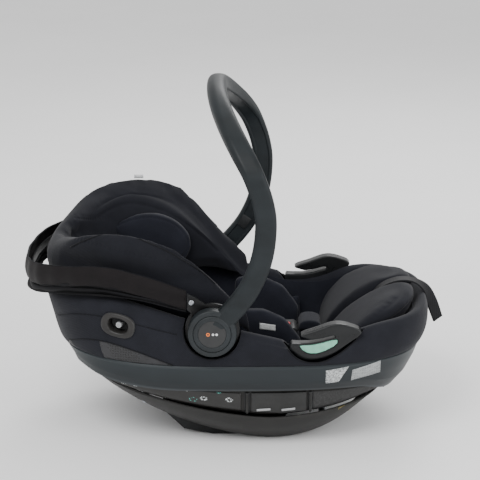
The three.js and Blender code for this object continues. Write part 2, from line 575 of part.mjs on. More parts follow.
addPair('handle_button', buttonBox(0, -BUTTON_IN - BUTTON_THICK, -BUTTON_IN), DARK_PLASTIC);
const gripMiddle = loft(Array.from({ length: 13 }, (_, i) => handleLoop(0.44 + 0.01 * i)));
add('grip_badge', common(badgeBox(0), gripMiddle), GREY_PLASTIC);

// ---------------------------------------------------------------- canopy
const CANOPY_END = -75; // where the band stops short of the hub
const canopyStations = [HEAD_X - 34, HEAD_X + 12, HEAD_X + 92, HEAD_X + 162, CANOPY_END];
const canopyHeights = (...z) => heights(canopyStations.map((x, i) => [x, z[i]]));
const bandBottomZ = canopyHeights(248, 264, 277, 266, 243);
const bandTopZ = canopyHeights(282, 295, 308, 297, 272);
const stackBottomZ = canopyHeights(240, 250, 262, 256, 239);
const canopyPower = { headPower: 2.45, footPower: 2.45 };
function canopyRing(outside, thick, bottom, top) {
  const level = (inset, z) => planLoop({
    head: CANOPY_X - CANOPY_REACH + inset, foot: CANOPY_X + CANOPY_REACH - inset, half: CANOPY_HALF - inset,
    z, ...canopyPower,
  });
  const low = (x) => bottom(x) - 60;
  const high = (x) => top(x) + 60;
  const ring = cut(loft([level(outside, bottom), level(outside, top)]),
    loft([level(outside + thick, low), level(outside + thick, high)]));
  return cut(ring, box(CANOPY_END, 300, -300, 300, 0, 500));
}
const bowFrom = BAND_THICK + GAP;
add('canopy_band', canopyRing(0, BAND_THICK, bandBottomZ, bandTopZ), CANOPY_FABRIC);
add('canopy_bow', canopyRing(bowFrom, BOW_THICK, (x) => bandBottomZ(x) + 9, (x) => bandBottomZ(x) + 21), DARK_PLASTIC);
add('canopy_fabric',
  canopyRing(1, BAND_THICK + BOW_THICK, stackBottomZ, (x) => bandBottomZ(x) - GAP), CANOPY_FABRIC);

const tabX = CANOPY_END + 8;
const tabZ = 254;
const bladeOutline = [
  [CANOPY_END + 1, 242], [CANOPY_END + 1, 268], [tabX + 6, 262], [HUB_X - 6, HUB_Z + HUB_R], [HUB_X - 30, HUB_Z + 24],
];
const armBlade = slab(bladeOutline, -CANOPY_RING_OUT, -CANOPY_RING_IN);
const canopyArm = cut(
  join(bar(HUB_X, HUB_Z, HUB_R + 5, -CANOPY_RING_OUT, -CANOPY_RING_IN, 36), armBlade,
    bar(tabX, tabZ, 4, -CANOPY_RING_OUT - 1.5, -CANOPY_RING_IN + 1, 16)),
  bar(HUB_X, HUB_Z, HOUSING_R + RUNNING, -HALF_WIDTH, -100, 36));
addPair('canopy_arm', canopyArm, DARK_PLASTIC);

// ---------------------------------------------------------------- headrest
const SLIDE = 45; // headrest travel towards the seat
const slideWay = new THREE.Vector3(0.92, 0, -0.392).normalize();
const RIM_CLEAR = 7; // between the rim and the pads that pass over it
const overRim = [HEAD_X - BEYOND, ...rimPoints.map(([x]) => x), FOOT_X + BEYOND];
const aboveRim = slab([
  ...overRim.map((x) => [x, rimZ(x) + RIM_CLEAR]), [FOOT_X + BEYOND, 650], [HEAD_X - BEYOND, 650],
], -HALF_WIDTH - BEYOND, HALF_WIDTH + BEYOND);
const aroundSeat = (inset) => cut(
  box(HEAD_X - BEYOND, FOOT_X + BEYOND, -HALF_WIDTH - BEYOND, HALF_WIDTH + BEYOND, -BEYOND, 600),
  body(seat, inset, 30), aboveRim);
const wallRoom = aroundSeat(3);
const slideSteps = Array.from({ length: 10 }, (_, i) => i / 9).map((share) => {
  const back = slideWay.clone().multiplyScalar(-share * SLIDE);
  return wallRoom.clone().translate(back.x, back.y, back.z);
});
const headrestOutside = loft([
  { head: HEAD_X + 30, half: HALF_WIDTH - 62, z: () => 150 },
  { head: HEAD_X + 27, half: HALF_WIDTH - 42, z: () => 244 },
  { head: HEAD_X + 8, half: HALF_WIDTH - 38, z: () => 264 },
  { head: HEAD_X, half: HALF_WIDTH - 37, z: () => 292 },
  { head: HEAD_X + 14, half: HALF_WIDTH - 41, z: () => 332 },
  { head: HEAD_X + 40, half: HALF_WIDTH - 52, z: () => 380 },
].map((level) => planLoop({ ...level, foot: -HEAD_X - 20, headPower: 2.8, footPower: 4 })));
const headrestInside = (inset) => loft([
  { head: HEAD_X + 72, half: HALF_WIDTH - 92, z: () => 80 },
  { head: HEAD_X + 60, half: HALF_WIDTH - 78, z: () => 200 },
  { head: HEAD_X + HEADREST_WALL, half: HALF_WIDTH - 37 - HEADREST_WALL, z: () => 292 },
  { head: HEAD_X + 44, half: HALF_WIDTH - 37 - HEADREST_WALL, z: () => 420 },
].map((level) => planLoop({
  ...level, head: level.head + inset, half: level.half - inset, foot: -HEAD_X + 60, headPower: 2.8, footPower: 4,
})));
const headrestSide = smoothOutline([
  [HEAD_X - 2, 292], [HEAD_X + 22, 314], [HEAD_X + 72, 355], [HEAD_X + 122, 374], [HEAD_X + 162, 369],
  [HEAD_X + 211, 349], [-54, 313], [-6, 264], [30, 231], [34, 214], [18, 203], [-60, 205], [HEAD_X + 182, 190],
  [HEAD_X + 112, 205], [HEAD_X + 52, 215], [HEAD_X + 6, 255],
], 36);
const headrestBlock = common(headrestOutside, slab(headrestSide, -HALF_WIDTH, HALF_WIDTH));
const headrest = cut(headrestBlock, headrestInside(0), ...slideSteps);
add('headrest_cover', headrest, COVER_FABRIC);

// Back panel of the headrest, along the slide, with a channel for each harness strap.
const panelFrame = (along, above) => {
  const start = new THREE.Vector3(HEAD_X + 58, 0, 226);
  return [start.x + slideWay.x * along - slideWay.z * above, start.z + slideWay.z * along + slideWay.x * above];
};
const STRAP_ABOVE = 17; // harness strap over the back of the panel
const panelOutline = [panelFrame(0, 0), panelFrame(185, 0), panelFrame(185, 12), panelFrame(0, 12)];
const panel = cut(common(slab(panelOutline, -104, 104), headrestInside(1)), ...slideSteps);
add('headrest_panel', panel, DARK_PLASTIC);

// Head pillow: two ears against the wings, joined behind the head.
const EAR_OUT = HALF_WIDTH - 47 - HEADREST_WALL;
const EAR_THICK = 26;
const earOutline = smoothOutline([
  [HEAD_X + 80, 268], [HEAD_X + 97, 295], [HEAD_X + 125, 311], [HEAD_X + 168, 319], [HEAD_X + 214, 304], [-72, 272],
  [-78, 240], [HEAD_X + 202, 216], [HEAD_X + 142, 214], [HEAD_X + 97, 232],
], 22);
const pillowBack = slab([panelFrame(8, 22), panelFrame(138, 22), panelFrame(138, 34), panelFrame(20, 42)],
  -EAR_OUT + 4, EAR_OUT - 4);
const ears = bothSides(slab(earOutline, -EAR_OUT, -EAR_OUT + EAR_THICK));
const pillow = common(join(pillowBack, ...ears), headrestInside(1.5));
add('head_pillow', pillow, LINER_FABRIC);

// A flat strap along a path: [x, y, z, width] at each point, lying across the seat.
function ribbon(points, thick, steps = 24) {
  const curve = new THREE.CatmullRomCurve3(points.map(([x, y, z]) => new THREE.Vector3(x, y, z)), false, 'centripetal');
  const widths = new THREE.CatmullRomCurve3(points.map(([x, y, z, width]) => new THREE.Vector3(width, 0, 0)));
  return loft(Array.from({ length: steps + 1 }, (_, i) => {
    const middle = curve.getPoint(i / steps);
    const along = curve.getTangent(i / steps);
    const across = new THREE.Vector3(0, 1, 0).addScaledVector(along, -along.y).normalize();
    const up = new THREE.Vector3().crossVectors(along, across);
    const half = widths.getPoint(i / steps).x / 2;
    return [[-1, -1], [1, -1], [1, 1], [-1, 1]].map(([a, b]) => middle.clone()
      .addScaledVector(across, a * half)
      .addScaledVector(up, (b * thick) / 2));
  }));
}

// Shoulder pads: open sleeves on the harness straps, carried by the headrest.
const PAD_HALF = 27;
const PAD_FROM = 150;
const PAD_TO = 210;
const padSide = (low, high, from = PAD_FROM, to = PAD_TO) =>
  [panelFrame(from, low), panelFrame(to, low), panelFrame(to, high), panelFrame(from, high)];
const shoulderPad = cut(
  slab(padSide(STRAP_ABOVE - 4, STRAP_ABOVE + 12), -STRAP_Y - PAD_HALF, -STRAP_Y + PAD_HALF),
  slab(padSide(STRAP_ABOVE - 2, STRAP_ABOVE + 2, PAD_FROM - 9, PAD_TO + 9), -STRAP_Y - STRAP_WIDTH / 2 - 1.5,
    -STRAP_Y + STRAP_WIDTH / 2 + 1.5));
addPair('shoulder_pad', shoulderPad, LINER_FABRIC);

// ---------------------------------------------------------------- seat pads
const padWall = aroundSeat(1.5);
const INSERT_THICK = 18;
const hipPad = common(
  cut(body(seat, 1, BEYOND), body(seat, 1 + INSERT_THICK, BEYOND)),
  box(-18, 118, -HALF_WIDTH + 58, HALF_WIDTH - 58, 40, 158));
const bolsterOutline = [[0, 60], [118, 60], [112, 156], [83, 192], [46, 208], [6, 206], [0, 200]];
const bolster = cut(slab(bolsterOutline, -98, -79), padWall);
const hipInsert = join(hipPad, ...bothSides(bolster));
add('hip_insert', hipInsert, LINER_FABRIC);

const CUSHION_HEAD = 150;
const cushionOutline = [
  [CUSHION_HEAD, 60], [CUSHION_HEAD - 2, 130], [162, 162], [183, 186], [206, 204], [230, 219], [254, 230], [272, 235],
  [288, 235], [FOOT_X - 22, 229], [FOOT_X - 14, 218], [FOOT_X - 14, 60],
];
const cushionPlan = loft([[0, 0], [195, 0], [222, 16], [240, 54]].map(([z, inset]) => planLoop({
  head: HEAD_X + 40, foot: FOOT_X - 13 - inset / 3, half: HALF_WIDTH - 41 - inset, z: () => z,
})));
const legCushion = cut(common(slab(cushionOutline, -HALF_WIDTH, -SLIT_HALF), cushionPlan), padWall);
addPair('leg_cushion', legCushion, COVER_FABRIC);

// ---------------------------------------------------------------- harness
const BUCKLE_X = 86;
const BUCKLE_Z = 146;
const BUCKLE_HALF = 23;
const BUTTON_R = 9;
const buckleTop = BUCKLE_Z + 7;
const buckleOutline = [[-20, -3], [-16, -7], [16, -7], [20, -3], [20, 4], [15, 7], [-15, 7], [-20, 4]]
  .map(([x, z]) => [BUCKLE_X + x, BUCKLE_Z + z]);
const upright = (x, radius, z0, z1, sides = 24) => new THREE.CylinderGeometry(radius, radius, z1 - z0, sides)
  .rotateX(Math.PI / 2)
  .translate(x, 0, (z0 + z1) / 2);
const BUCKLE_TRAVEL = 3;
const TONGUE_THICK = 3;
const tongueBox = (grow) => box(BUCKLE_X - 38 - grow * 20, BUCKLE_X - 10 + grow, -21 - grow, -4 + grow,
  BUCKLE_Z - 3.5 - grow, BUCKLE_Z - 3.5 + TONGUE_THICK + grow);
const buckle = cut(
  slab(buckleOutline, -BUCKLE_HALF, BUCKLE_HALF),
  upright(BUCKLE_X, BUTTON_R + RUNNING, buckleTop - 5 - BUCKLE_TRAVEL - RUNNING, buckleTop + 5),
  ...bothSides(tongueBox(GAP)));
add('buckle_body', buckle, DARK_PLASTIC);
add('buckle_button', upright(BUCKLE_X, BUTTON_R, buckleTop - 5, buckleTop + 1.5), RED_PLASTIC);
addPair('buckle_tongue', tongueBox(0), STEEL);

const strapAt = (along, y, width = STRAP_WIDTH) => {
  const [x, z] = panelFrame(along, STRAP_ABOVE);
  return [x, y, z, width];
};
const tongueEnd = BUCKLE_X - 38 - GAP;
const harnessStrap = ribbon([
  strapAt(62, -STRAP_Y), strapAt(120, -STRAP_Y), strapAt(180, -STRAP_Y), strapAt(250, -STRAP_Y),
  strapAt(262, -STRAP_Y + 1), [20, -34, 139, 30], [tongueEnd - 6, -15, BUCKLE_Z - 2, 17],
], STRAP_THICK, 20);
addPair('harness_strap', harnessStrap, WEBBING);

const CROTCH_X = 132;
add('crotch_strap', ribbon([
  [CROTCH_X + 4, 0, seatZ(CROTCH_X) + 4, 28], [CROTCH_X + 2, 0, 118, 28], [CROTCH_X - 4, 0, 138, 28],
  [BUCKLE_X + 32, 0, BUCKLE_Z - 1, 28], [BUCKLE_X + 20 + GAP, 0, BUCKLE_Z, 28],
], STRAP_THICK, 14), WEBBING);
const crotchOutline = smoothOutline([
  [BUCKLE_X + 22, BUCKLE_Z + 4], [CROTCH_X - 12, BUCKLE_Z + 3], [CROTCH_X + 4, BUCKLE_Z + 1],
  [CROTCH_X + 14, BUCKLE_Z + 6], [CROTCH_X + 12, BUCKLE_Z + 16], [CROTCH_X - 6, BUCKLE_Z + 21],
  [BUCKLE_X + 26, BUCKLE_Z + 17],
], 20);
add('crotch_pad', slab(crotchOutline, -27, 27), LINER_FABRIC);

// Harness adjuster at the foot end, in the slit between the leg cushions.
const ADJUSTER_X = 190;
const slope = Math.atan2(seatZ(ADJUSTER_X + 26) - seatZ(ADJUSTER_X), 26);
const onSlope = (along, above) => [
  ADJUSTER_X + along * Math.cos(slope) - above * Math.sin(slope),
  seatZ(ADJUSTER_X) + 5 + along * Math.sin(slope) + above * Math.cos(slope),
];
const slopeSlab = (from, to, low, high, half) =>
  slab([onSlope(from, low), onSlope(to, low), onSlope(to, high), onSlope(from, high)], -half, half);
const ADJUSTER_HALF = 12.5;
const PRESS = 3;
add('adjuster_housing', cut(
  slopeSlab(0, 32, 0, 14, ADJUSTER_HALF),
  slopeSlab(6 - RUNNING, 22 + RUNNING, 10 - PRESS - RUNNING, 30, 8 + RUNNING)), DARK_PLASTIC);
add('adjuster_button', slopeSlab(6, 22, 10, 16.5, 8), GREY_PLASTIC);
const [strapX, strapZ] = onSlope(32 + GAP + 1, 8);
add('adjuster_strap', ribbon([
  [strapX, 0, strapZ, 24], [226, 0, 190, 24], [243, 0, 217, 24], [270, 0, 231, 24], [298, 0, 231, 24],
  [FOOT_X - 2, 0, 217, 24], [FOOT_X + 10, 0, 192, 24], [FOOT_X + 20.9, 0, 162, 22],
], STRAP_THICK, 36), WEBBING);

export default group;
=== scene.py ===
"""Looks of the infant car seat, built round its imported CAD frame.

Metres, +X to the feet, +Y to the child's left.
"""

import math

import bmesh
import bpy
from mathutils import Matrix, Vector
from mathutils.bvhtree import BVHTree
from mathutils.kdtree import KDTree


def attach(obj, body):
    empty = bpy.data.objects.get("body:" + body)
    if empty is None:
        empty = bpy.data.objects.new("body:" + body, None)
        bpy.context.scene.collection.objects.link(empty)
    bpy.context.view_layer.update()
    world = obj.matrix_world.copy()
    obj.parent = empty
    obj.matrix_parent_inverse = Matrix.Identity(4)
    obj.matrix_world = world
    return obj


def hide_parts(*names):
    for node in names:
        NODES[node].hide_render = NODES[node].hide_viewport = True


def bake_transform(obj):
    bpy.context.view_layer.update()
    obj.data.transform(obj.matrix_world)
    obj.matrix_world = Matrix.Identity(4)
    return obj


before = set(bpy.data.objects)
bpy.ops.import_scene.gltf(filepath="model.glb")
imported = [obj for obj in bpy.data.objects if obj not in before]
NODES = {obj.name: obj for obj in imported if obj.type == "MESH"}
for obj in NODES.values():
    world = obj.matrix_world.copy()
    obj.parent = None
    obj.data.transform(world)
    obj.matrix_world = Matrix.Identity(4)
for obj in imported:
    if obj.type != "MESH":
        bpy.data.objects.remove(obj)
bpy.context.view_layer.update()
MM = 0.001

# ---------------------------------------------------------------- sizes, from the CAD source
HEAD_X, FOOT_X, HALF_WIDTH = -0.312, 0.323, 0.208
RAIL_TOP, RAIL_BOTTOM = 0.151, 0.105
LOW_X, SEAT_X = 0.060, 0.080
HUB_X, HUB_Z, HUB_R = -0.034, 0.209, 0.0385
ARM_IN, ARM_THICK, ARM_WIDTH = 0.197, 0.022, 0.034
ARM_OUT = ARM_IN + ARM_THICK
GRIP_Z, GRIP_THICK = 0.561, 0.030
CANOPY_X, CANOPY_REACH, CANOPY_HALF, CANOPY_END = -0.100, 0.245, 0.195, -0.075
BEZEL_X, BEZEL_Z, BEZEL_LONG, BEZEL_TALL, BEZEL_TILT = -0.184, 0.213, 0.056, 0.038, math.radians(-10)
GUIDE_X, GUIDE_Z = 0.150, 0.190
HEAD_POWER, FOOT_POWER = 2.9, 3.1


# ---------------------------------------------------------------- profiles
def curve_through(points):
    """A smooth height through points given as (x, z) in mm, as a function of x in metres."""
    pts = [(x * MM, z * MM) for x, z in points]

    def value(x):
        if x <= pts[0][0]:
            return pts[0][1]
        if x >= pts[-1][0]:
            return pts[-1][1]
        k = next(i for i in range(len(pts) - 1) if x <= pts[i + 1][0])
        slopes = []
        for i in (k, k + 1):
            a, b = pts[max(i - 1, 0)], pts[min(i + 1, len(pts) - 1)]
            slopes.append((b[1] - a[1]) / (b[0] - a[0]))
        (x0, z0), (x1, z1) = pts[k], pts[k + 1]
        w = x1 - x0
        t = (x - x0) / w
        return ((2 * t**3 - 3 * t**2 + 1) * z0 + (t**3 - 2 * t**2 + t) * w * slopes[0]
                + (3 * t**2 - 2 * t**3) * z1 + (t**3 - t**2) * w * slopes[1])

    return value


def groove_z(x):
    return RAIL_BOTTOM - 0.051 + (0.060 * ((LOW_X - x) / 0.274) ** 1.6 if x < LOW_X
                                  else 0.028 * ((x - LOW_X) / 0.190) ** 1.7)


def skid_z(x):
    return 0.001 + (0.062 * ((LOW_X - x) / 0.220) ** 1.64 if x < LOW_X
                    else 0.054 * ((x - LOW_X) / 0.155) ** 2.1)


def seat_z(x):
    return 0.076 + (0.156 * ((SEAT_X - x) / 0.370) ** 1.6 if x < SEAT_X
                    else 0.110 * ((x - SEAT_X) / 0.210) ** 1.6)


rail_bottom_z = curve_through([(-276, 141), (-252, 132), (-216, 119), (-180, 112), (-120, 106), (-60, 105),
                               (118, 105),
                               (205, 101), (245, 87), (265, 83)])
rail_top_z = curve_through([(-288, 160), (-200, 153), (-100, 150), (100, 150), (200, 151), (311, 154)])
rim_z = curve_through([(-312, 237), (-250, 250), (-196, 255), (-140, 243), (-77, 224), (0, 207), (60, 193),
                       (100, 184),
                       (150, 185), (206, 203), (240, 209), (323, 212)])


def between(low, high, share):
    return lambda x: low(x) + (high(x) - low(x)) * share


def lerp(a, b, t):
    return a + (b - a) * t


def smooth(t, lo=0.0, hi=1.0):
    t = min(max((t - lo) / (hi - lo), 0.0), 1.0)
    return t * t * (3 - 2 * t)


def super_circle(angle, power):
    c, s = math.cos(angle), math.sin(angle)
    return math.copysign(abs(c) ** (2 / power), c), math.copysign(abs(s) ** (2 / power), s)


def plan_point(head, foot, half, angle, head_power=HEAD_POWER, foot_power=FOOT_POWER):
    middle = (head + foot) / 2
    c, s = super_circle(angle, head_power if math.cos(angle) < 0 else foot_power)
    return middle + c * (foot - head) / 2, half * s


def catmull(points, t):
    """A point on the smooth curve through points, t from 0 to 1 by point number."""
    n = len(points) - 1
    k = min(int(t * n), n - 1)
    f = t * n - k
    p = [points[min(max(k + i, 0), n)] for i in (-1, 0, 1, 2)]
    return tuple(
        0.5 * (2 * b + (c - a) * f + (2 * a - 5 * b + 4 * c - d) * f**2 + (3 * b - a - 3 * c + d) * f**3)
        for a, b, c, d in zip(*p))


# ---------------------------------------------------------------- mesh helpers
def new_piece(bm, name, material, sharp=None):
    """A finished object from a bmesh, smooth shaded, with edges over the sharp angle kept crisp."""
    bmesh.ops.recalc_face_normals(bm, faces=bm.faces)
    mesh = bpy.data.meshes.new(name)
    bm.to_mesh(mesh)
    bm.free()
    mesh.materials.clear()
    mesh.materials.append(material)
    obj = bpy.data.objects.new(name, mesh)
    bpy.context.scene.collection.objects.link(obj)
    mesh.polygons.foreach_set("use_smooth", [True] * len(mesh.polygons))
    if sharp:
        mesh.set_sharp_from_angle(angle=math.radians(sharp))
    return obj


def sheet_mesh(across, along, place, closed=False):
    """A bmesh sheet whose points are place(u, v), u and v from 0 to 1; closed joins u = 0 to u = 1."""
    bm = bmesh.new()
    layer = bm.loops.layers.uv.new("UVMap")
    bmesh.ops.create_grid(bm, x_segments=across, y_segments=along, size=0.5, calc_uvs=True)
    shares = {v: (min(max(v.co.x + 0.5, 0), 1), min(max(v.co.y + 0.5, 0), 1)) for v in bm.verts}
    for face in bm.faces:
        for loop in face.loops:
            loop[layer].uv = shares[loop.vert]
    for v, (s, t) in shares.items():
        v.co = Vector(place(s, t))
    if closed:
        bmesh.ops.remove_doubles(bm, verts=bm.verts, dist=1e-6)
    return bm


def tube_mesh(path, radius, sides=10):
    """A round tube along a list of points, closed at both ends."""
    pts = [Vector(p) for p in path]

    def place(u, v):
        k = min(int(round(v * (len(pts) - 1))), len(pts) - 1)
        along = (pts[min(k + 1, len(pts) - 1)] - pts[max(k - 1, 0)]).normalized()
        side = along.cross(Vector((0, 0, 1)) if abs(along.z) < 0.9 else Vector((0, 1, 0))).normalized()
        up = side.cross(along)
        a = 2 * math.pi * u
        return pts[k] + (side * math.cos(a) + up * math.sin(a)) * radius

    bm = sheet_mesh(sides, len(pts) - 1, place, closed=True)
    bmesh.ops.holes_fill(bm, edges=[e for e in bm.edges if e.is_boundary])
    return bm


def copy_of(*names):
    """A merged copy of some CAD nodes' meshes."""
    bm = bmesh.new()
    for name in names:
        bm.from_mesh(NODES[name].data)
    bmesh.ops.remove_doubles(bm, verts=bm.verts, dist=2e-5)
    return bm


def take_modifiers(obj):
    """Makes an object's modifiers part of its mesh."""
    graph = bpy.context.evaluated_depsgraph_get()
    mesh = bpy.data.meshes.new_from_object(obj.evaluated_get(graph))
    old = obj.data
    obj.modifiers.clear()
    obj.data = mesh
    bpy.data.meshes.remove(old)
    mesh.polygons.foreach_set("use_smooth", [True] * len(mesh.polygons))
    return obj


def remeshed(obj, voxel, rounds=8, factor=0.5):
    """The object's mesh in even voxels, then relaxed."""
    mod = obj.modifiers.new("voxels", "REMESH")
    mod.mode, mod.voxel_size, mod.adaptivity = "VOXEL", voxel, 0
    take_modifiers(obj)
    relax(obj, rounds, factor)
    return obj


def relax(obj, rounds, factor=0.5):
    bm = bmesh.new()
    bm.from_mesh(obj.data)
    for _ in range(rounds):
        bmesh.ops.smooth_vert(bm, verts=bm.verts, factor=factor, use_axis_x=True, use_axis_y=True,
                              use_axis_z=True)
    bm.to_mesh(obj.data)
    bm.free()
    obj.data.polygons.foreach_set("use_smooth", [True] * len(obj.data.polygons))


def inflate(obj, cap, pressure=4.0):
    """Swells a closed piece as a stuffed cushion; cap is the furthest that a point moves."""
    rest = [v.co.copy() for v in obj.data.vertices]
    cloth = obj.modifiers.new("cloth", "CLOTH")
    s = cloth.settings
    s.quality, s.mass, s.tension_stiffness, s.compression_stiffness, s.bending_stiffness = 5, 0.3, 15, 15, 0.5
    s.use_pressure, s.uniform_pressure_force = True, pressure
    s.effector_weights.gravity = 0
    cloth.collision_settings.use_collision = False
    scene = bpy.context.scene
    for number in range(1, 21):
        scene.frame_set(number)
        bpy.context.view_layer.update()
    take_modifiers(obj)
    scene.frame_set(1)
    for v, before in zip(obj.data.vertices, rest):
        moved = v.co - before
        if moved.length > cap:
            moved *= cap / moved.length
        v.co = before + moved
    return obj


def subdivide(obj, levels=1):
    mod = obj.modifiers.new("smooth", "SUBSURF")
    mod.levels = mod.render_levels = levels
    return obj


def push(obj, move):
    """Moves every point of a mesh by move(point, normal)."""
    moves = [move(v.co.copy(), v.normal.copy()) for v in obj.data.vertices]
    for v, m in zip(obj.data.vertices, moves):
        v.co += m
    obj.data.update()


def settle(obj, body, slot, *nodes):
    """Puts a finished piece on its body and in the place of its CAD nodes."""
    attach(obj, body)
    if nodes:
        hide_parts(*nodes)
    return obj


# ---------------------------------------------------------------- colours and materials
def srgb(code):
    """A hex colour as linear values with full alpha."""
    parts = [int(code[i:i + 2], 16) / 255 for i in (1, 3, 5)]
    return [p / 12.92 if p <= 0.04045 else ((p + 0.055) / 1.055) ** 2.4 for p in parts] + [1.0]


class Recipe:
    """A material's node tree while it is being written."""

    def __init__(self, name):
        self.material = bpy.data.materials.new(name)
        self.material.use_nodes = True
        self.tree = self.material.node_tree
        self.tree.nodes.clear()
        self.place = self.add("TexCoord", out="Object")

    def add(self, kind, inputs=None, out=0, stops=(), **settings):
        """Adds a node and gives one of its outputs; an input is a value, a hex colour or an output."""
        node = self.tree.nodes.new("ShaderNode" + kind)
        for key, value in settings.items():
            setattr(node, key, value)
        for key, value in (inputs or {}).items():
            if isinstance(value, bpy.types.NodeSocket):
                self.tree.links.new(value, node.inputs[key])
            else:
                node.inputs[key].default_value = srgb(value) if isinstance(value, str) else value
        for k, (at, color) in enumerate(stops):
            node.color_ramp.elements[k].position = at
            node.color_ramp.elements[k].color = srgb(color)
        return node.outputs[out] if node.outputs else None

    def finish(self, inputs):
        """The finished material, from what its shader takes."""
        self.add("OutputMaterial", {"Surface": self.add("BsdfPrincipled", inputs)})
        return self.material


def spots(size_mm, detail=3.0, rough=0.55):
    """A noise pattern's settings for spots of a size."""
    return {"Scale": 1 / (size_mm * MM), "Detail": detail, "Roughness": rough}


def knit(name, dark, light):
    """Brushed jersey: fine loops in columns, a soft nap and slow tonal drift."""
    r = Recipe(name)
    columns = r.add("TexWave", {"Vector": r.place, "Scale": 1 / (6.0 * MM), "Distortion": 1.5, "Detail": 1.0,
                                "Detail Scale": 4.0},
                    "Fac", bands_direction="DIAGONAL")
    upright = r.add("Mapping", {"Vector": r.place, "Scale": (1, 1, 1.8)})
    loops = r.add("TexNoise", {"Vector": upright, **spots(1.4, 2.0)}, "Fac")
    nap = r.add("TexNoise", {"Vector": r.place, **spots(0.9)}, "Fac")
    drift = r.add("TexNoise", {"Vector": r.place, **spots(38)}, "Fac")
    folds = r.add("TexNoise", {"Vector": r.place, **spots(22, 2.0)}, "Fac")
    raised = r.add("Math", {0: loops, 1: 0.8}, operation="MULTIPLY")
    weave = r.add("Math", {0: columns, 1: 0.30, 2: raised}, operation="MULTIPLY_ADD")
    slow = r.add("Math", {0: drift, 1: 0.55}, operation="MULTIPLY")
    tone = r.add("Math", {0: weave, 1: 0.45, 2: slow}, operation="MULTIPLY_ADD")
    color = r.add("ValToRGB", {"Fac": tone}, stops=((0.30, dark), (0.72, light)))
    wrinkle = r.add("Bump", {"Height": folds, "Strength": 0.35, "Distance": 0.9 * MM})
    height = r.add("Math", {0: nap, 1: 0.6, 2: weave}, operation="MULTIPLY_ADD")
    normal = r.add("Bump", {"Height": height, "Strength": 0.55, "Distance": 0.35 * MM, "Normal": wrinkle})
    rough = r.add("Math", {0: nap, 1: 0.12, 2: 0.80}, operation="MULTIPLY_ADD")
    return r.finish({"Base Color": color, "Roughness": rough, "Normal": normal, "Sheen Weight": 0.08,
                     "Sheen Roughness": 0.45,
                     "Specular IOR Level": 0.14})


def woven(name, dark, light, pitch_mm=0.8, ribs=(1, 0.35, 1), rough_base=0.62, depth_mm=0.18):
    """Plain weave: crossed threads at a fixed pitch, a little shine on the crowns."""
    r = Recipe(name)
    spot = r.add("Mapping", {"Vector": r.place, "Scale": ribs})
    per_thread = 0.9 / (2 * math.pi * pitch_mm * MM)
    warp = r.add("TexWave", {"Vector": spot, "Scale": per_thread}, "Fac", bands_direction="X")
    weft = r.add("TexWave", {"Vector": spot, "Scale": per_thread}, "Fac", bands_direction="Z")
    weave = r.add("Math", {0: warp, 1: weft}, operation="MAXIMUM")
    drift = r.add("TexNoise", {"Vector": r.place, **spots(24)}, "Fac")
    creases = r.add("TexNoise", {"Vector": r.place, **spots(14, 2.0)}, "Fac")
    slow = r.add("Math", {0: drift, 1: 0.6}, operation="MULTIPLY")
    tone = r.add("Math", {0: weave, 1: 0.4, 2: slow}, operation="MULTIPLY_ADD")
    color = r.add("ValToRGB", {"Fac": tone}, stops=((0.3, dark), (0.8, light)))
    creased = r.add("Bump", {"Height": creases, "Strength": 0.3, "Distance": 0.8 * MM})
    normal = r.add("Bump", {"Height": weave, "Strength": 0.5, "Distance": depth_mm * MM, "Normal": creased})
    rough = r.add("Math", {0: drift, 1: 0.15, 2: rough_base}, operation="MULTIPLY_ADD")
    return r.finish({"Base Color": color, "Roughness": rough, "Normal": normal, "Sheen Weight": 0.03,
                     "Specular IOR Level": 0.12})


def moulded(name, dark, light, rough_low, rough_high, grain_mm=0.7, depth_mm=0.05, wear="#8A8E91"):
    """Injection-moulded plastic: spark-eroded grain, faint flow marks, rubbed edges."""
    r = Recipe(name)
    grain = r.add("TexNoise", {"Vector": r.place, **spots(grain_mm, 2.0, 0.6)}, "Fac")
    upright = r.add("Mapping", {"Vector": r.place, "Scale": (1, 1, 2.5)})
    flow = r.add("TexNoise", {"Vector": upright, **spots(60, 2.0)}, "Fac")
    scuffs = r.add("TexNoise", {"Vector": r.place, **spots(9, 6.0, 0.75)}, "Fac")
    fine = r.add("Math", {0: grain, 1: 0.3}, operation="MULTIPLY")
    tone = r.add("Math", {0: flow, 1: 0.7, 2: fine}, operation="MULTIPLY_ADD")
    plain = r.add("ValToRGB", {"Fac": tone}, stops=((0.35, dark), (0.68, light)))
    bend = r.add("NewGeometry", out="Pointiness")
    edge = r.add("ValToRGB", {"Fac": bend}, stops=((0.52, "#000000"), (0.66, "#FFFFFF")))
    patchy = r.add("Math", {0: scuffs, 1: 0.30}, operation="MULTIPLY")
    rubbed = r.add("Math", {0: edge, 1: patchy}, operation="MULTIPLY")
    color = r.add("Mix", {0: rubbed, 6: plain, 7: wear}, 2, data_type="RGBA")
    half_flow = r.add("Math", {0: flow, 1: 0.5}, operation="MULTIPLY")
    sheen = r.add("Math", {0: scuffs, 1: 0.5, 2: half_flow}, operation="MULTIPLY_ADD")
    rough = r.add("MapRange", {"Value": sheen, "From Min": 0.3, "From Max": 0.7, "To Min": rough_low,
                               "To Max": rough_high})
    normal = r.add("Bump", {"Height": grain, "Strength": 0.6, "Distance": depth_mm * MM})
    return r.finish({"Base Color": color, "Roughness": rough, "Normal": normal, "Coat Weight": 0.0,
                     "Coat Roughness": 0.15,
                     "Specular IOR Level": 0.24})


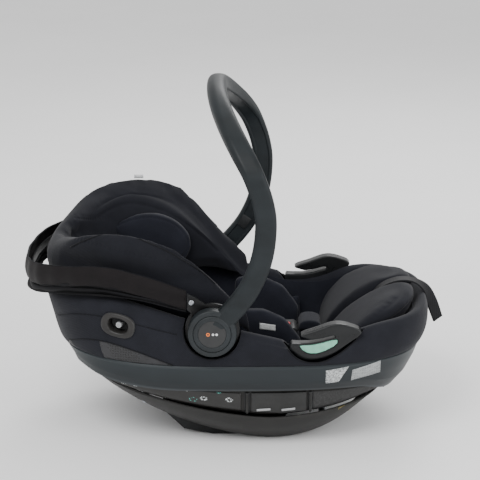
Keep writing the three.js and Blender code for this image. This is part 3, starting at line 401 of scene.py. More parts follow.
COVER = knit("jersey_cover_brushed", "#14151A", "#202127")  # knitted polyester jersey over thin foam
HEADREST = knit("jersey_headrest_brushed", "#111217", "#1B1C22")  # same jersey, stretched over the wings
LINER = knit("jersey_inlay_soft", "#12131A", "#1E2028")  # thinner jersey of the newborn inlay
CUSHION = knit("jersey_leg_cushion", "#121318", "#1C1D23")  # same jersey, loose over the leg cushions
CANOPY = woven("polyester_canopy_plain_weave", "#0F0D0E", "#191617")  # dull plain-woven polyester
FOLDS = woven("polyester_canopy_folds", "#08080A", "#121215")  # the same cloth in the shade of its folds
# seat belt webbing
WEBBING = woven("webbing_polyester_twill", "#0B0B0D", "#1B1B1E", 1.6, (1, 1, 1), 0.5, 0.4)
PIPING = woven("piping_corded_binding", "#0A0A0D", "#141519", 0.9)  # corded edge binding
HANDLE = moulded("handle_pa6_satin", "#15191B", "#1E2326", 0.42, 0.55)  # glass-filled polyamide, fine grain
# polypropylene, moulded grain
SHELL = moulded("shell_pp_grained", "#1B1B1A", "#272625", 0.40, 0.55, 1.0, 0.08)
BLACK = moulded("trim_pp_black", "#0B0B0C", "#131314", 0.38, 0.52)  # black polypropylene
GLOSSY = moulded("guide_abs_satin", "#141516", "#1F2021", 0.24, 0.34, 0.5, 0.03)  # satin ABS belt guide
# socket ring, warm grey polypropylene
BEZEL = moulded("bezel_pp_warm_grey", "#21201F", "#2C2A29", 0.32, 0.44)
# dyed polypropylene
TEAL = moulded("belt_guide_insert_teal", "#6FA892", "#86C2AB", 0.30, 0.42, 0.8, 0.05, "#B8DFD0")
RED = moulded("button_abs_red", "#A01218", "#BE1E22", 0.25, 0.35)  # dyed ABS press button
GREY = moulded("badge_abs_light_grey", "#8F9091", "#A2A3A4", 0.35, 0.5)  # light grey ABS


def steel_recipe():
    """Zinc-plated steel: drawn streaks along the bar and dull blotches."""
    r = Recipe("steel_zinc_plated")
    along_bar = r.add("Mapping", {"Vector": r.place, "Scale": (12, 1, 12)})
    streaks = r.add("TexNoise", {"Vector": along_bar, **spots(3, 4.0, 0.7)}, "Fac")
    color = r.add("ValToRGB", {"Fac": streaks}, stops=((0.3, "#7E8287"), (0.7, "#B4B8BB")))
    blotches = r.add("TexNoise", {"Vector": r.place, **spots(12)}, "Fac")
    rough = r.add("Math", {0: blotches, 1: 0.25, 2: 0.24}, operation="MULTIPLY_ADD")
    normal = r.add("Bump", {"Height": streaks, "Strength": 0.5, "Distance": 0.03 * MM})
    return r.finish({"Base Color": color, "Roughness": rough, "Normal": normal, "Metallic": 1.0})


def rail_recipe():
    """Blue-grey polyamide rail with a fine satin grain, slightly lighter where it turns up to the light."""
    r = Recipe("rail_pa6_blue_grey")
    grain = r.add("TexNoise", {"Vector": r.place, **spots(0.8, 2.0)}, "Fac")
    upright = r.add("Mapping", {"Vector": r.place, "Scale": (1, 1, 3)})
    flow = r.add("TexNoise", {"Vector": upright, **spots(90, 2.0)}, "Fac")
    height = r.add("SeparateXYZ", {"Vector": r.place}, "Z")
    lift = r.add("MapRange", {"Value": height, "From Min": RAIL_BOTTOM, "From Max": RAIL_TOP})
    half_flow = r.add("Math", {0: flow, 1: 0.5}, operation="MULTIPLY")
    tone = r.add("Math", {0: lift, 1: 0.45, 2: half_flow}, operation="MULTIPLY_ADD")
    plain = r.add("ValToRGB", {"Fac": tone}, stops=((0.2, "#181C1F"), (0.75, "#23292C")))
    bend = r.add("NewGeometry", out="Pointiness")
    edge = r.add("ValToRGB", {"Fac": bend}, stops=((0.515, "#000000"), (0.60, "#FFFFFF")))
    rubbed = r.add("Math", {0: edge, 1: 0.35}, operation="MULTIPLY")
    color = r.add("Mix", {0: rubbed, 6: plain, 7: "#8C9397"}, 2, data_type="RGBA")
    rough = r.add("Math", {0: flow, 1: 0.16, 2: 0.34}, operation="MULTIPLY_ADD")
    normal = r.add("Bump", {"Height": grain, "Strength": 0.5, "Distance": 0.05 * MM})
    return r.finish({"Base Color": color, "Roughness": rough, "Normal": normal, "Specular IOR Level": 0.28})


def mesh_recipe():
    """Black spacer mesh: open hexagonal holes over a darker backing."""
    r = Recipe("mesh_spacer_black")
    flat = r.add("Mapping", {"Vector": r.place, "Scale": (1, 0.2, 1)})
    cells = r.add("TexVoronoi", {"Vector": flat, "Scale": 1 / (4.2 * MM), "Randomness": 0.25}, "Distance",
                  feature="DISTANCE_TO_EDGE")
    web = r.add("ValToRGB", {"Fac": cells}, stops=((0.10, "#FFFFFF"), (0.22, "#000000")))
    drift = r.add("TexNoise", {"Vector": r.place, **spots(18)}, "Fac")
    yarn = r.add("ValToRGB", {"Fac": drift}, stops=((0.3, "#17171A"), (0.7, "#232327")))
    color = r.add("Mix", {0: web, 6: "#040405", 7: yarn}, 2, data_type="RGBA")
    normal = r.add("Bump", {"Height": web, "Strength": 0.9, "Distance": 0.6 * MM})
    return r.finish({"Base Color": color, "Roughness": 0.6, "Normal": normal, "Sheen Weight": 0.1})


def hub_recipe():
    """Satin hub inlay with a small generic printed mark: a warm ring and two pale dots."""
    r = Recipe("hub_inlay_printed")

    def dot(dx, radius):
        """Inside a circle on the inlay's level line."""
        far = r.add("VectorMath", {0: r.place, 1: (HUB_X + dx, 0, HUB_Z)}, operation="SUBTRACT")
        across = r.add("VectorMath", {0: far, 1: (1, 0, 1)}, operation="MULTIPLY")
        length = r.add("VectorMath", {0: across}, "Value", operation="LENGTH")
        return r.add("Math", {0: length, 1: radius}, operation="LESS_THAN")

    grain = r.add("TexNoise", {"Vector": r.place, **spots(0.9, 2.0)}, "Fac")
    drift = r.add("TexNoise", {"Vector": r.place, **spots(25)}, "Fac")
    base = r.add("ValToRGB", {"Fac": drift}, stops=((0.3, "#161718"), (0.7, "#202122")))
    ring = r.add("Math", {0: dot(-0.0065, 0.0030), 1: dot(-0.0065, 0.0014)}, operation="SUBTRACT")
    warm = r.add("Mix", {0: ring, 6: base, 7: "#D9702A"}, 2, data_type="RGBA")
    dots = r.add("Math", {0: dot(0.0015, 0.0020), 1: dot(0.0072, 0.0020)}, operation="MAXIMUM")
    color = r.add("Mix", {0: dots, 6: warm, 7: "#C9CBCC"}, 2, data_type="RGBA")
    normal = r.add("Bump", {"Height": grain, "Strength": 0.6, "Distance": 0.05 * MM})
    return r.finish({"Base Color": color, "Roughness": 0.42, "Normal": normal})


def decal(name, paper, ink, pitch, row_height, rough_base, metal=0.0):
    """A printed sticker: a plain ground with generic bars and blocks on a slightly glossy film."""
    r = Recipe(name)
    uv = r.add("UVMap", uv_map="UVMap")
    bricks = r.add("TexBrick", {"Vector": uv, "Scale": pitch, "Mortar Size": 0.03, "Brick Width": 0.5,
                                "Row Height": row_height,
                                "Color1": ink, "Color2": paper, "Mortar": paper, "Bias": -0.1})
    fading = r.add("TexNoise", {"Vector": r.place, **spots(6)}, "Fac")
    faded = r.add("Math", {0: fading, 1: 0.15}, operation="MULTIPLY")
    color = r.add("Mix", {0: faded, 6: bricks, 7: paper}, 2, data_type="RGBA")
    smears = r.add("TexNoise", {"Vector": r.place, **spots(5)}, "Fac")
    rough = r.add("Math", {0: smears, 1: 0.15, 2: rough_base}, operation="MULTIPLY_ADD")
    ripples = r.add("TexNoise", {"Vector": r.place, **spots(3)}, "Fac")
    normal = r.add("Bump", {"Height": ripples, "Strength": 0.4, "Distance": 0.03 * MM})
    return r.finish({"Base Color": color, "Roughness": rough, "Normal": normal, "Metallic": metal})


def panel_recipe():
    """Instruction panel: a dark film printed with small generic pale and teal shapes, no lettering."""
    r = Recipe("panel_pictograms_generic")
    uv = r.add("UVMap", uv_map="UVMap")
    spot = r.add("Mapping", {"Vector": uv, "Scale": (9, 2.2, 1)})
    shapes = {"Vector": spot, "Scale": 1.0, "Randomness": 0.55}
    middle = r.add("TexVoronoi", shapes, "Distance", feature="F1")
    pick = r.add("SeparateColor", {"Color": r.add("TexVoronoi", shapes, "Color", feature="F1")})
    inside = r.add("Math", {0: middle, 1: 0.30}, operation="LESS_THAN")
    outside = r.add("Math", {0: middle, 1: 0.16}, operation="GREATER_THAN")
    ring = r.add("Math", {0: inside, 1: outside}, operation="MULTIPLY")
    cracks = r.add("TexVoronoi", {"Vector": spot, "Scale": 4.0}, "Distance", feature="DISTANCE_TO_EDGE")
    printed = r.add("Math", {0: cracks, 1: 0.12}, operation="GREATER_THAN")
    mark = r.add("Math", {0: ring, 1: printed}, operation="MULTIPLY")
    teal = r.add("Math", {0: pick, 1: 0.55}, operation="GREATER_THAN")
    ink = r.add("Mix", {0: teal, 6: "#B9BDBE", 7: "#4E9C92"}, 2, data_type="RGBA")
    drift = r.add("TexNoise", {"Vector": r.place, **spots(20)}, "Fac")
    film = r.add("ValToRGB", {"Fac": drift}, stops=((0.3, "#161514"), (0.7, "#1E1D1C")))
    color = r.add("Mix", {0: mark, 6: film, 7: ink}, 2, data_type="RGBA")
    grain = r.add("TexNoise", {"Vector": r.place, **spots(0.9)}, "Fac")
    normal = r.add("Bump", {"Height": grain, "Strength": 0.5, "Distance": 0.04 * MM})
    return r.finish({"Base Color": color, "Roughness": 0.4, "Normal": normal})


def rough_panel_recipe():
    """Coarse-textured grip panel: pebbled polypropylene."""
    r = Recipe("panel_pp_pebbled")
    pebbles = r.add("TexVoronoi", {"Vector": r.place, "Scale": 1 / (2.0 * MM)}, "Distance",
                    feature="SMOOTH_F1")
    dust = r.add("TexNoise", {"Vector": r.place, **spots(8, 5.0, 0.8)}, "Fac")
    half_dust = r.add("Math", {0: dust, 1: 0.5}, operation="MULTIPLY")
    tone = r.add("Math", {0: pebbles, 1: 0.5, 2: half_dust}, operation="MULTIPLY_ADD")
    color = r.add("ValToRGB", {"Fac": tone}, stops=((0.3, "#131313"), (0.75, "#303030")))
    normal = r.add("Bump", {"Height": pebbles, "Strength": 0.8, "Distance": 0.35 * MM})
    return r.finish({"Base Color": color, "Roughness": 0.62, "Normal": normal})


def floor_recipe():
    """Pale matt studio floor with a barely visible drift."""
    r = Recipe("floor_pale_matt")
    drift = r.add("TexNoise", {"Vector": r.place, **spots(400)}, "Fac")
    color = r.add("ValToRGB", {"Fac": drift}, stops=((0.3, "#F4F4F4"), (0.7, "#F7F7F7")))
    return r.finish({"Base Color": color, "Roughness": 0.9})


STEEL = steel_recipe()
RAIL = rail_recipe()
MESH = mesh_recipe()
HUB_INLAY = hub_recipe()
WHITE_LABEL = decal("label_white_film", "#C6C9C9", "#3A3C3E", 7.0, 0.5, 0.32)
SILVER_LABEL = decal("label_silver_film", "#A3A6A6", "#5C5F61", 3.0, 0.16, 0.30, 0.3)
CARE_LABEL = decal("label_care_satin", "#BDBFBE", "#77797B", 4.0, 0.22, 0.5)
TAB = decal("tab_red_white_tape", "#C8CACB", "#B31E30", 1.0, 0.9, 0.6)
WARM_SPOT = decal("label_yellow_spot", "#CDB51E", "#1C1C1C", 2.0, 0.5, 0.4)
PANEL = panel_recipe()
PEBBLED = rough_panel_recipe()


# ---------------------------------------------------------------- shell, rails and skirts
def level_sheet(levels, across, along, angles=(0, 2 * math.pi), closed=True):
    """A sheet through plan loops (head, foot, half, z) blended smoothly from one to the next."""
    start, stop = angles

    def place(u, v):
        angle = lerp(start, stop, u)
        pts = []
        for head, foot, half, z in levels:
            x, y = plan_point(head, foot, half, angle)
            pts.append((x, y, z(x)))
        return catmull(pts, v)

    return sheet_mesh(across, along, place, closed)


def inset_level(head, foot, half, z):
    """A plan loop given by its insets in mm from the cover's two ends and half width."""
    return HEAD_X + head * MM, FOOT_X - foot * MM, HALF_WIDTH - half * MM, z


def add_to(z, mm):
    return lambda x: z(x) + mm * MM


def thicken(obj, mm, side=-1):
    mod = obj.modifiers.new("thickness", "SOLIDIFY")
    mod.thickness, mod.offset = mm * MM, side
    return obj


tub = new_piece(level_sheet([
    inset_level(220, 230, 150, groove_z), inset_level(130, 140, 95, groove_z),
                             inset_level(82, 100, 52, groove_z),
    inset_level(50, 75, 28, between(groove_z, rail_bottom_z, 0.2)), inset_level(39, 62, 20, rail_bottom_z),
    inset_level(29, 22, 11, add_to(rail_top_z, -4)), inset_level(28, 18, 10, rail_top_z)], 200, 40),
                "shell_tub_skin", SHELL)
settle(thicken(tub, 3, 0.4), "shell", "shell_plastic", "shell_tub")

skirts = new_piece(level_sheet([
    inset_level(84, 96, 90, add_to(skid_z, 1.2)), inset_level(76, 87, 80, add_to(skid_z, -0.2)),
                                inset_level(71, 82, 75, add_to(skid_z, 1)),
    inset_level(62, 78, 55, between(skid_z, groove_z, 0.3)),
                                inset_level(56, 75, 40, between(skid_z, groove_z, 0.58)),
    inset_level(49, 73, 27, between(skid_z, groove_z, 0.93)),
                                inset_level(47, 72, 24.5, add_to(groove_z, 0.6)),
    inset_level(50, 75, 27.5, add_to(groove_z, 1.2))], 200, 42), "rocker_skirt_skin", SHELL, 32)
settle(thicken(skirts, 3), "shell", "shell_plastic", "skirt_right", "skirt_left")

TIP = 0.34  # the rails start this far round from the head


def rail_mesh():
    rows = [inset_level(38, 62, 19, add_to(rail_bottom_z, 3)),
            inset_level(34, 57.5, 15.2, add_to(rail_bottom_z, 0.2)),
            inset_level(32.4, 53, 11.4, add_to(rail_bottom_z, 0.6)),
            inset_level(30, 34, 4.2, between(rail_bottom_z, rail_top_z, 0.35)),
            inset_level(29.6, 33, 3.9, between(rail_bottom_z, rail_top_z, 0.375)),
            inset_level(27, 21, 2.0, between(rail_bottom_z, rail_top_z, 0.7)),
            inset_level(25, 14.3, 0.9, add_to(rail_top_z, -3.0)),
            inset_level(25.3, 14.2, 1.2, add_to(rail_top_z, -2.2)),
            inset_level(27, 15.8, 3.2, add_to(rail_top_z, -0.1)),
            inset_level(28, 16.8, 4.2, add_to(rail_top_z, 0.1)),
            inset_level(32, 21, 8.5, add_to(rail_top_z, -0.6))]

    def place(u, v):
        angle = lerp(-math.pi + TIP, math.pi - TIP, u)
        near_tip = smooth(min(u, 1 - u) / 0.035)
        k = v * (len(rows) - 1)
        i = min(int(k), len(rows) - 2)
        pts = []
        for head, foot, half, z in (rows[i], rows[i + 1]):
            x, y = plan_point(head, foot, half, angle)
            top = rail_top_z(x)
            pts.append(Vector((x, y, top - (top - z(x)) * lerp(0.35, 1, near_tip))))
        return pts[0].lerp(pts[1], k - i)

    return sheet_mesh(260, 30, place)


rails = new_piece(rail_mesh(), "bumper_rails", RAIL, 16)
settle(thicken(rails, 2.5), "shell", "rail_plastic", "rail_right", "rail_left")

# ---------------------------------------------------------------- cover and liner
cover_levels = [
    inset_level(27, 15, 7, add_to(rail_top_z, -1.5)), inset_level(22, 10.5, 2.6, add_to(rail_top_z, 1.6)),
    inset_level(16, 4.5, 1.2, between(rail_top_z, rim_z, 0.22)),
                inset_level(11, 1, 2.0, between(rail_top_z, rim_z, 0.46)),
    inset_level(5, 0.2, 5.2, between(rail_top_z, rim_z, 0.74)),
                inset_level(1.5, 1.8, 10.5, add_to(rim_z, -6.5)),
    inset_level(3.5, 4.6, 16, add_to(rim_z, -0.8)), inset_level(9, 10, 22.5, add_to(rim_z, 0.6)),
    inset_level(15.5, 16.5, 29.5, add_to(rim_z, -2.2)), inset_level(21.5, 22.5, 34.5, add_to(rim_z, -8)),
    inset_level(25, 26.5, 38, add_to(rim_z, -17))]


def solid_cutter(outline, y0, y1, name="cutter"):
    """A side-view outline, as (x, z) in metres, run from y0 to y1."""
    bm = bmesh.new()
    circle = bmesh.ops.create_circle(bm, cap_ends=True, radius=1, segments=len(outline))
    for v, (x, z) in zip(circle["verts"], outline):
        v.co = Vector((x, y0, z))
    lifted = bmesh.ops.extrude_face_region(bm, geom=bm.faces[:])
    bmesh.ops.translate(bm, vec=(0, y1 - y0, 0), verts=[g for g in lifted["geom"]
                                                        if isinstance(g, bmesh.types.BMVert)])
    return new_piece(bm, name, BLACK)


def round_outline(x, z, radius, count=64, start=0.0):
    angles = [start + 2 * math.pi * i / count for i in range(count)]
    return [(x + radius * math.cos(a), z + radius * math.sin(a)) for a in angles]


def oval_outline(long, tall, count=48, power=2.6):
    pts = []
    for i in range(count):
        c, s = super_circle(2 * math.pi * i / count, power)
        dx, dz = c * long / 2, s * tall / 2
        pts.append((BEZEL_X + dx * math.cos(BEZEL_TILT) - dz * math.sin(BEZEL_TILT),
                    BEZEL_Z + dx * math.sin(BEZEL_TILT) + dz * math.cos(BEZEL_TILT)))
    return pts


def closed_curve(points, count):
    """Even points on the closed smooth curve through (x, z) points in mm."""
    ring = [(x * MM, z * MM) for x, z in points]
    n = len(ring)
    dense = []
    for i in range(n * 24):
        k, f = divmod(i / 24, 1)
        k = int(k)
        p = [ring[(k + j) % n] for j in (-1, 0, 1, 2)]
        dense.append(tuple(0.5 * (2 * b + (c - a) * f + (2 * a - 5 * b + 4 * c - d) * f**2
                                  + (3 * b - a - 3 * c + d) * f**3)
                           for a, b, c, d in zip(*p)))
    return [dense[int(i * len(dense) / count)] for i in range(count)]


MESH_TOP = curve_through([(-268, 167), (-252, 176), (-237, 181), (-212, 183.5), (-182, 179.5), (-142, 168),
                          (-97, 152)])
MESH_LOW = curve_through([(-268, 165), (-256, 158), (-222, 150), (-162, 147), (-97, 150)])
mesh_outline = ([(lerp(-0.268, -0.097, i / 40), MESH_TOP(lerp(-0.268, -0.097, i / 40))) for i in range(41)]
                + [(lerp(-0.097, -0.268, i / 24), MESH_LOW(lerp(-0.097, -0.268, i / 24)) - 0.004)
                   for i in range(1, 24)])
guide_dip = closed_curve([(72, 226), (71, 198), (84, 181), (98, 166), (118, 157), (140, 157), (164, 167),
                          (186, 182), (205, 199), (216, 212), (216, 232), (140, 236)], 72)

cover = new_piece(level_sheet(cover_levels, 260, 56), "outer_cover_skin", COVER)
cover_surface = cover.data.copy()
take_modifiers(thicken(cover, 2.6))
cutters = []
for side in (-1, 1):
    for outline in (round_outline(HUB_X, HUB_Z, HUB_R + 0.0075), mesh_outline, guide_dip,
                    oval_outline(BEZEL_LONG - 0.004, BEZEL_TALL - 0.004)):
        cutters.append(solid_cutter(outline, side * 0.240, side * 0.172))
for cutter in cutters:
    cut = cover.modifiers.new("cut", "BOOLEAN")
    cut.operation, cut.object, cut.solver = "DIFFERENCE", cutter, "EXACT"
take_modifiers(cover)
cover.data.materials.clear()
cover.data.materials.append(COVER)
cover.data.set_sharp_from_angle(angle=math.radians(55))
for cutter in cutters:
    bpy.data.objects.remove(cutter)

surface_bm = bmesh.new()
surface_bm.from_mesh(cover_surface)
SKIN = BVHTree.FromBMesh(surface_bm)


def on_tree(tree, x, z, side=-1, above=0.0):
    """The point of a surface seen from the side at (x, z), lifted by above; None off the surface."""
    hit, _, _, _ = tree.ray_cast(Vector((x, side * 0.4, z)), Vector((0, -side, 0)))
    return None if hit is None or hit.y * side < 0.1 else hit + Vector((0, side * above, 0))


def near_tree(tree, x, z, side=-1, above=0.0):
    """As on_tree, but at the surface's edge the closest point of the surface."""
    found = on_tree(tree, x, z, side, above)
    return found or tree.find_nearest(Vector((x, side * 0.195, z)))[0] + Vector((0, side * above, 0))


def groove(obj, path, width, depth):
    """Sinks a seam into a soft surface along a path of points."""
    tree = KDTree(len(path))
    for i, p in enumerate(path):
        tree.insert(p, i)
    tree.balance()

    def move(co, normal):
        _, _, far = tree.find(co)
        return normal * (-depth * math.exp(-((far / width) ** 2))) if far < width * 2.5 else Vector()

    push(obj, move)


def side_path(points, tree=SKIN, side=-1, above=0.0, count=60):
    """A line across a side surface, from (x, z) points in mm."""
    pts = [(x * MM, z * MM) for x, z in points]
    found = [on_tree(tree, *catmull(pts, i / count), side, above) for i in range(count + 1)]
    return [p for p in found if p]


def below_rim(outline, side, above):
    """The longest run of an outline's points that lie on the cover's side, below its rim."""
    runs = [[]]
    for x, z in outline:
        found = on_tree(SKIN, x, z, side, above) if z < rim_z(x) - 0.007 else None
        if found:
            runs[-1].append(found)
        elif runs[-1]:
            runs.append([])
    return max(runs, key=len)


cover_seam = [(-291, 205), (-262, 222), (-225, 229), (-180, 226), (-130, 216), (-90, 207)]
for side, word in ((-1, "right"), (1, "left")):
    line = side_path(cover_seam, side=side)
    groove(cover, line, 0.0022, 0.0014)
    low = side_path([(x, z - 4.2) for x, z in cover_seam], side=side, above=0.0003)
    seam = new_piece(tube_mesh(low, 0.00055, 6), f"cover_topstitch_{word}", PIPING)
    settle(seam, "shell", "cover_fabric")
    ring = below_rim(round_outline(HUB_X, HUB_Z, HUB_R + 0.0078, 72, 1.75 * math.pi), side, -0.0004)
    settle(new_piece(tube_mesh(ring, 0.0013, 8), f"hub_edge_piping_{word}", PIPING), "shell", "cover_fabric")
    edge = below_rim(guide_dip, side, -0.0002)
    settle(new_piece(tube_mesh(edge, 0.0012, 8), f"guide_edge_piping_{word}", PIPING), "shell",
           "cover_fabric")
    top = [near_tree(SKIN, *p, side) for p in mesh_outline[:41]]
    settle(new_piece(tube_mesh(top, 0.0011, 8), f"mesh_edge_piping_{word}", PIPING), "shell", "cover_fabric")

    def mesh_place(u, v, side=side):
        x = lerp(-0.268, -0.097, u)
        low = max(MESH_LOW(x) - 0.003, rail_top_z(x) + 0.0012)
        return near_tree(SKIN, x, lerp(low, max(MESH_TOP(x), low + 0.001), v), side, -0.0014)

    panel = new_piece(sheet_mesh(64, 10, mesh_place), f"mesh_side_panel_{word}", MESH)
    settle(thicken(panel, 1.6, 0), "shell", "mesh_fabric", f"mesh_panel_{word}")
settle(cover, "shell", "cover_fabric", "outer_cover")

liner = new_piece(level_sheet([
    inset_level(23.5, 25.5, 36.5, add_to(rim_z, -9)), inset_level(26.5, 28.5, 39.5, add_to(rim_z, -22)),
    inset_level(36, 38, 45, between(seat_z, rim_z, 0.45)), inset_level(50, 56, 62, add_to(seat_z, 16)),
                               inset_level(76, 82, 88, add_to(seat_z, 3)),
    inset_level(115, 125, 118, seat_z), inset_level(180, 190, 163, seat_z),
                               inset_level(280, 300, 200, seat_z)], 160, 48), "seat_liner_skin", LINER)
settle(thicken(liner, 3, 1), "shell", "liner_fabric", "seat_liner")

# ---------------------------------------------------------------- carry handle
ARM_HEIGHT = GRIP_Z - HUB_Z
ARM_MIDDLE = ARM_IN + ARM_THICK / 2
half_path = [
    (0.00, 1, 0.02), (0.06, 1, 0.07), (0.137, 1, 0.16), (0.184, 1, 0.24), (0.215, 1, 0.32), (0.234, 1, 0.41),
    (0.240, 1, 0.51), (0.230, 1, 0.585), (0.209, 0.995, 0.659), (0.175, 0.965, 0.741), (0.129, 0.87, 0.818),
    (0.083, 0.70, 0.887), (0.042, 0.47, 0.952), (0.022, 0.24, 0.99), (0.017, 0, 1)]
handle_path = [(HUB_X + x * ARM_HEIGHT, -y * ARM_MIDDLE, HUB_Z + z * ARM_HEIGHT) for x, y, z in half_path]
handle_path += [(x, -y, z) for x, y, z in handle_path[-2::-1]]


def handle_mesh():
    steps = 200
    line = [Vector(catmull(handle_path, i / steps)) for i in range(steps + 1)]

    def section(angle, grip):
        """Across the arm: w to the feet, d inwards; a bevel line outside, a shallow channel inside."""
        c, s = super_circle(angle, lerp(4.5, 2.5, grip))
        w, d = c * lerp(ARM_WIDTH, ARM_WIDTH - 0.002, grip) / 2, s * lerp(ARM_THICK, GRIP_THICK, grip) / 2
        arm = 1 - grip
        if d < 0:
            d += arm * 0.0030 * smooth((-w - 0.0085) / 0.0085)
        else:
            d -= arm * 0.0024 * (1 - smooth((abs(w) - 0.0095) / 0.0022))
        return w, d

    def place(u, v):
        k = int(round(v * steps))
        p = line[k]
        along = (line[min(k + 1, steps)] - line[max(k - 1, 0)]).normalized()
        wide = (Vector((1, 0, 0)) - along * along.x).normalized()
        deep = along.cross(wide)
        grip = smooth((1 - abs(p.y) / ARM_MIDDLE - 0.1) / 0.65)
        w, d = section(2 * math.pi * u, grip)
        return p + wide * w + deep * d

    bm = sheet_mesh(72, steps, place, closed=True)
    bmesh.ops.holes_fill(bm, edges=[e for e in bm.edges if e.is_boundary])
    return bm


def lathe(profile, x, z, side, name, material, turns=96, sharp=40):
    """A turned piece on an axis across the seat: profile is (radius, distance from the middle) in mm."""
    steps = len(profile) - 1

    def place(u, v):
        radius, y = profile[int(round(v * steps))]
        a = 2 * math.pi * u
        return x + radius * MM * math.cos(a), side * y * MM, z + radius * MM * math.sin(a)

    bm = sheet_mesh(turns, steps, place, closed=True)
    bmesh.ops.remove_doubles(bm, verts=bm.verts, dist=1e-6)
    return new_piece(bm, name, material, sharp)


handle = new_piece(handle_mesh(), "carry_handle_arch", HANDLE, 28)
settle(handle, "handle", "handle_plastic", "handle_arch")
for side, word in ((-1, "right"), (1, "left")):
    hub = lathe([(0, 197.2), (36.5, 197.2), (38.2, 198.2), (38.5, 200), (38.5, 215.6), (37.9, 217.0),
                 (36.6, 217.9), (31.2, 218.5), (30.6, 218.2), (30.4, 216.5),
                 (0, 216.5)], HUB_X, HUB_Z, side, f"handle_hub_ring_{word}", HANDLE)
    settle(hub, "handle", "handle_plastic")
    cap = lathe([(0, 213.5), (29.2, 213.5), (30, 214), (30, 217.8), (29.3, 218.9), (28.0, 219.6),
                 (22.9, 219.9), (22.4, 219.5), (22.2, 218.7)],
                HUB_X, HUB_Z, side, f"hub_cap_ring_{word}", HANDLE)
    settle(cap, "handle", "handle_plastic", f"hub_cap_{word}")
    inlay = lathe([(22.6, 218.2), (22.0, 218.8), (12, 219.1), (0, 219.2)], HUB_X, HUB_Z, side,
                  f"hub_inlay_{word}", HUB_INLAY)
    settle(inlay, "handle", "handle_plastic")


def polished(name, material, body, slot, width=0.6, angle=30):
    """A merged copy of a CAD node with its hard edges rounded over."""
    bm = copy_of(name)
    bmesh.ops.dissolve_limit(bm, angle_limit=math.radians(2), verts=bm.verts, edges=bm.edges)
    hard = [e for e in bm.edges if len(e.link_faces) == 2 and e.calc_face_angle(0) > math.radians(angle)]
    bmesh.ops.bevel(bm, geom=hard, offset=width * MM, segments=2, profile=0.5, affect="EDGES",
                    clamp_overlap=True, material=-1)
    obj = new_piece(bm, f"{name}_finished", material, 40)
    return settle(obj, body, slot, name)


def relaxed(name, material, body, slot, voxel_mm, rounds, cap_mm=0.0, levels=0, pressure=4.0,
            nodes=None, groove_paths=(), move=None):
    """A soft or rounded piece in the place of a CAD node: voxels, relaxed, swollen, then seamed."""
    obj = new_piece(copy_of(name), f"{name}_shaped", material)
    remeshed(obj, voxel_mm * MM, rounds)
    if cap_mm:
        inflate(obj, cap_mm * MM, pressure)
        relax(obj, 2)
    if levels:
        take_modifiers(subdivide(obj, levels))
    if move:
        push(obj, move)
    for path, width, depth in groove_paths:
        groove(obj, path, width, depth)
    obj.data.materials.clear()
    obj.data.materials.append(material)
    settle(obj, body, slot, *(nodes or [name]))
    return obj


for word in ("right", "left"):
    polished(f"handle_button_{word}", BLACK, f"handle_button_{word}", "dark_plastic", 1.2)
    polished(f"hub_housing_{word}", BLACK, "shell", "dark_plastic", 0.5)
    polished(f"canopy_arm_{word}", BLACK, "canopy", "dark_plastic", 0.8)
    polished(f"pocket_door_{word}", SHELL, "shell", "dark_plastic", 1.0)
    NODES[f"handle_axle_{word}"].data.materials.clear()
    NODES[f"handle_axle_{word}"].data.materials.append(STEEL)
    NODES[f"lock_gear_{word}"].data.materials.clear()
    NODES[f"lock_gear_{word}"].data.materials.append(GREY)
    polished(f"buckle_tongue_{word}", STEEL, "shell", "steel", 0.5)
polished("base_block", BLACK, "shell", "dark_plastic", 1.6)
polished("base_plate", BLACK, "shell", "dark_plastic", 0.6)
polished("release_lever", BLACK, "release_lever", "dark_plastic", 1.2)
polished("lock_bar_front", STEEL, "shell", "steel", 0.8)
polished("lock_bar_rear", STEEL, "shell", "steel", 0.8)
polished("buckle_body", BLACK, "shell", "dark_plastic", 1.0)
polished("buckle_button", RED, "buckle_button", "red_plastic", 0.8)
polished("adjuster_housing", BLACK, "shell", "dark_plastic", 0.8)
polished("adjuster_button", GREY, "adjuster_button", "grey_plastic", 0.8)
polished("grip_badge", GREY, "handle", "grey_plastic", 0.5)
polished("canopy_bow", BLACK, "canopy", "dark_plastic", 0.5)
polished("headrest_panel", BLACK, "headrest", "dark_plastic", 0.8)

# ---------------------------------------------------------------- side fittings
def cover_side(x):
    """Half width of the cover at its fullest level, over the head half."""
    head, foot, half = HEAD_X + 0.010, FOOT_X, HALF_WIDTH - 0.0036
    return half * (1 - (1 - (x - head) / ((foot - head) / 2)) ** HEAD_POWER) ** (1 / HEAD_POWER)


def along_cover(obj, side):
    """Turns a socket piece, made square to the seat with its face at 198 mm, to lie along the cover."""
    reach = BEZEL_LONG / 2
    turn = math.atan2(cover_side(BEZEL_X + reach) - cover_side(BEZEL_X - reach), BEZEL_LONG)
    obj.data.transform(Matrix.Translation((BEZEL_X, side * cover_side(BEZEL_X), 0))
                       @ Matrix.Rotation(side * turn, 4, "Z")
                       @ Matrix.Translation((-BEZEL_X, -side * 0.195, 0)))
    return obj


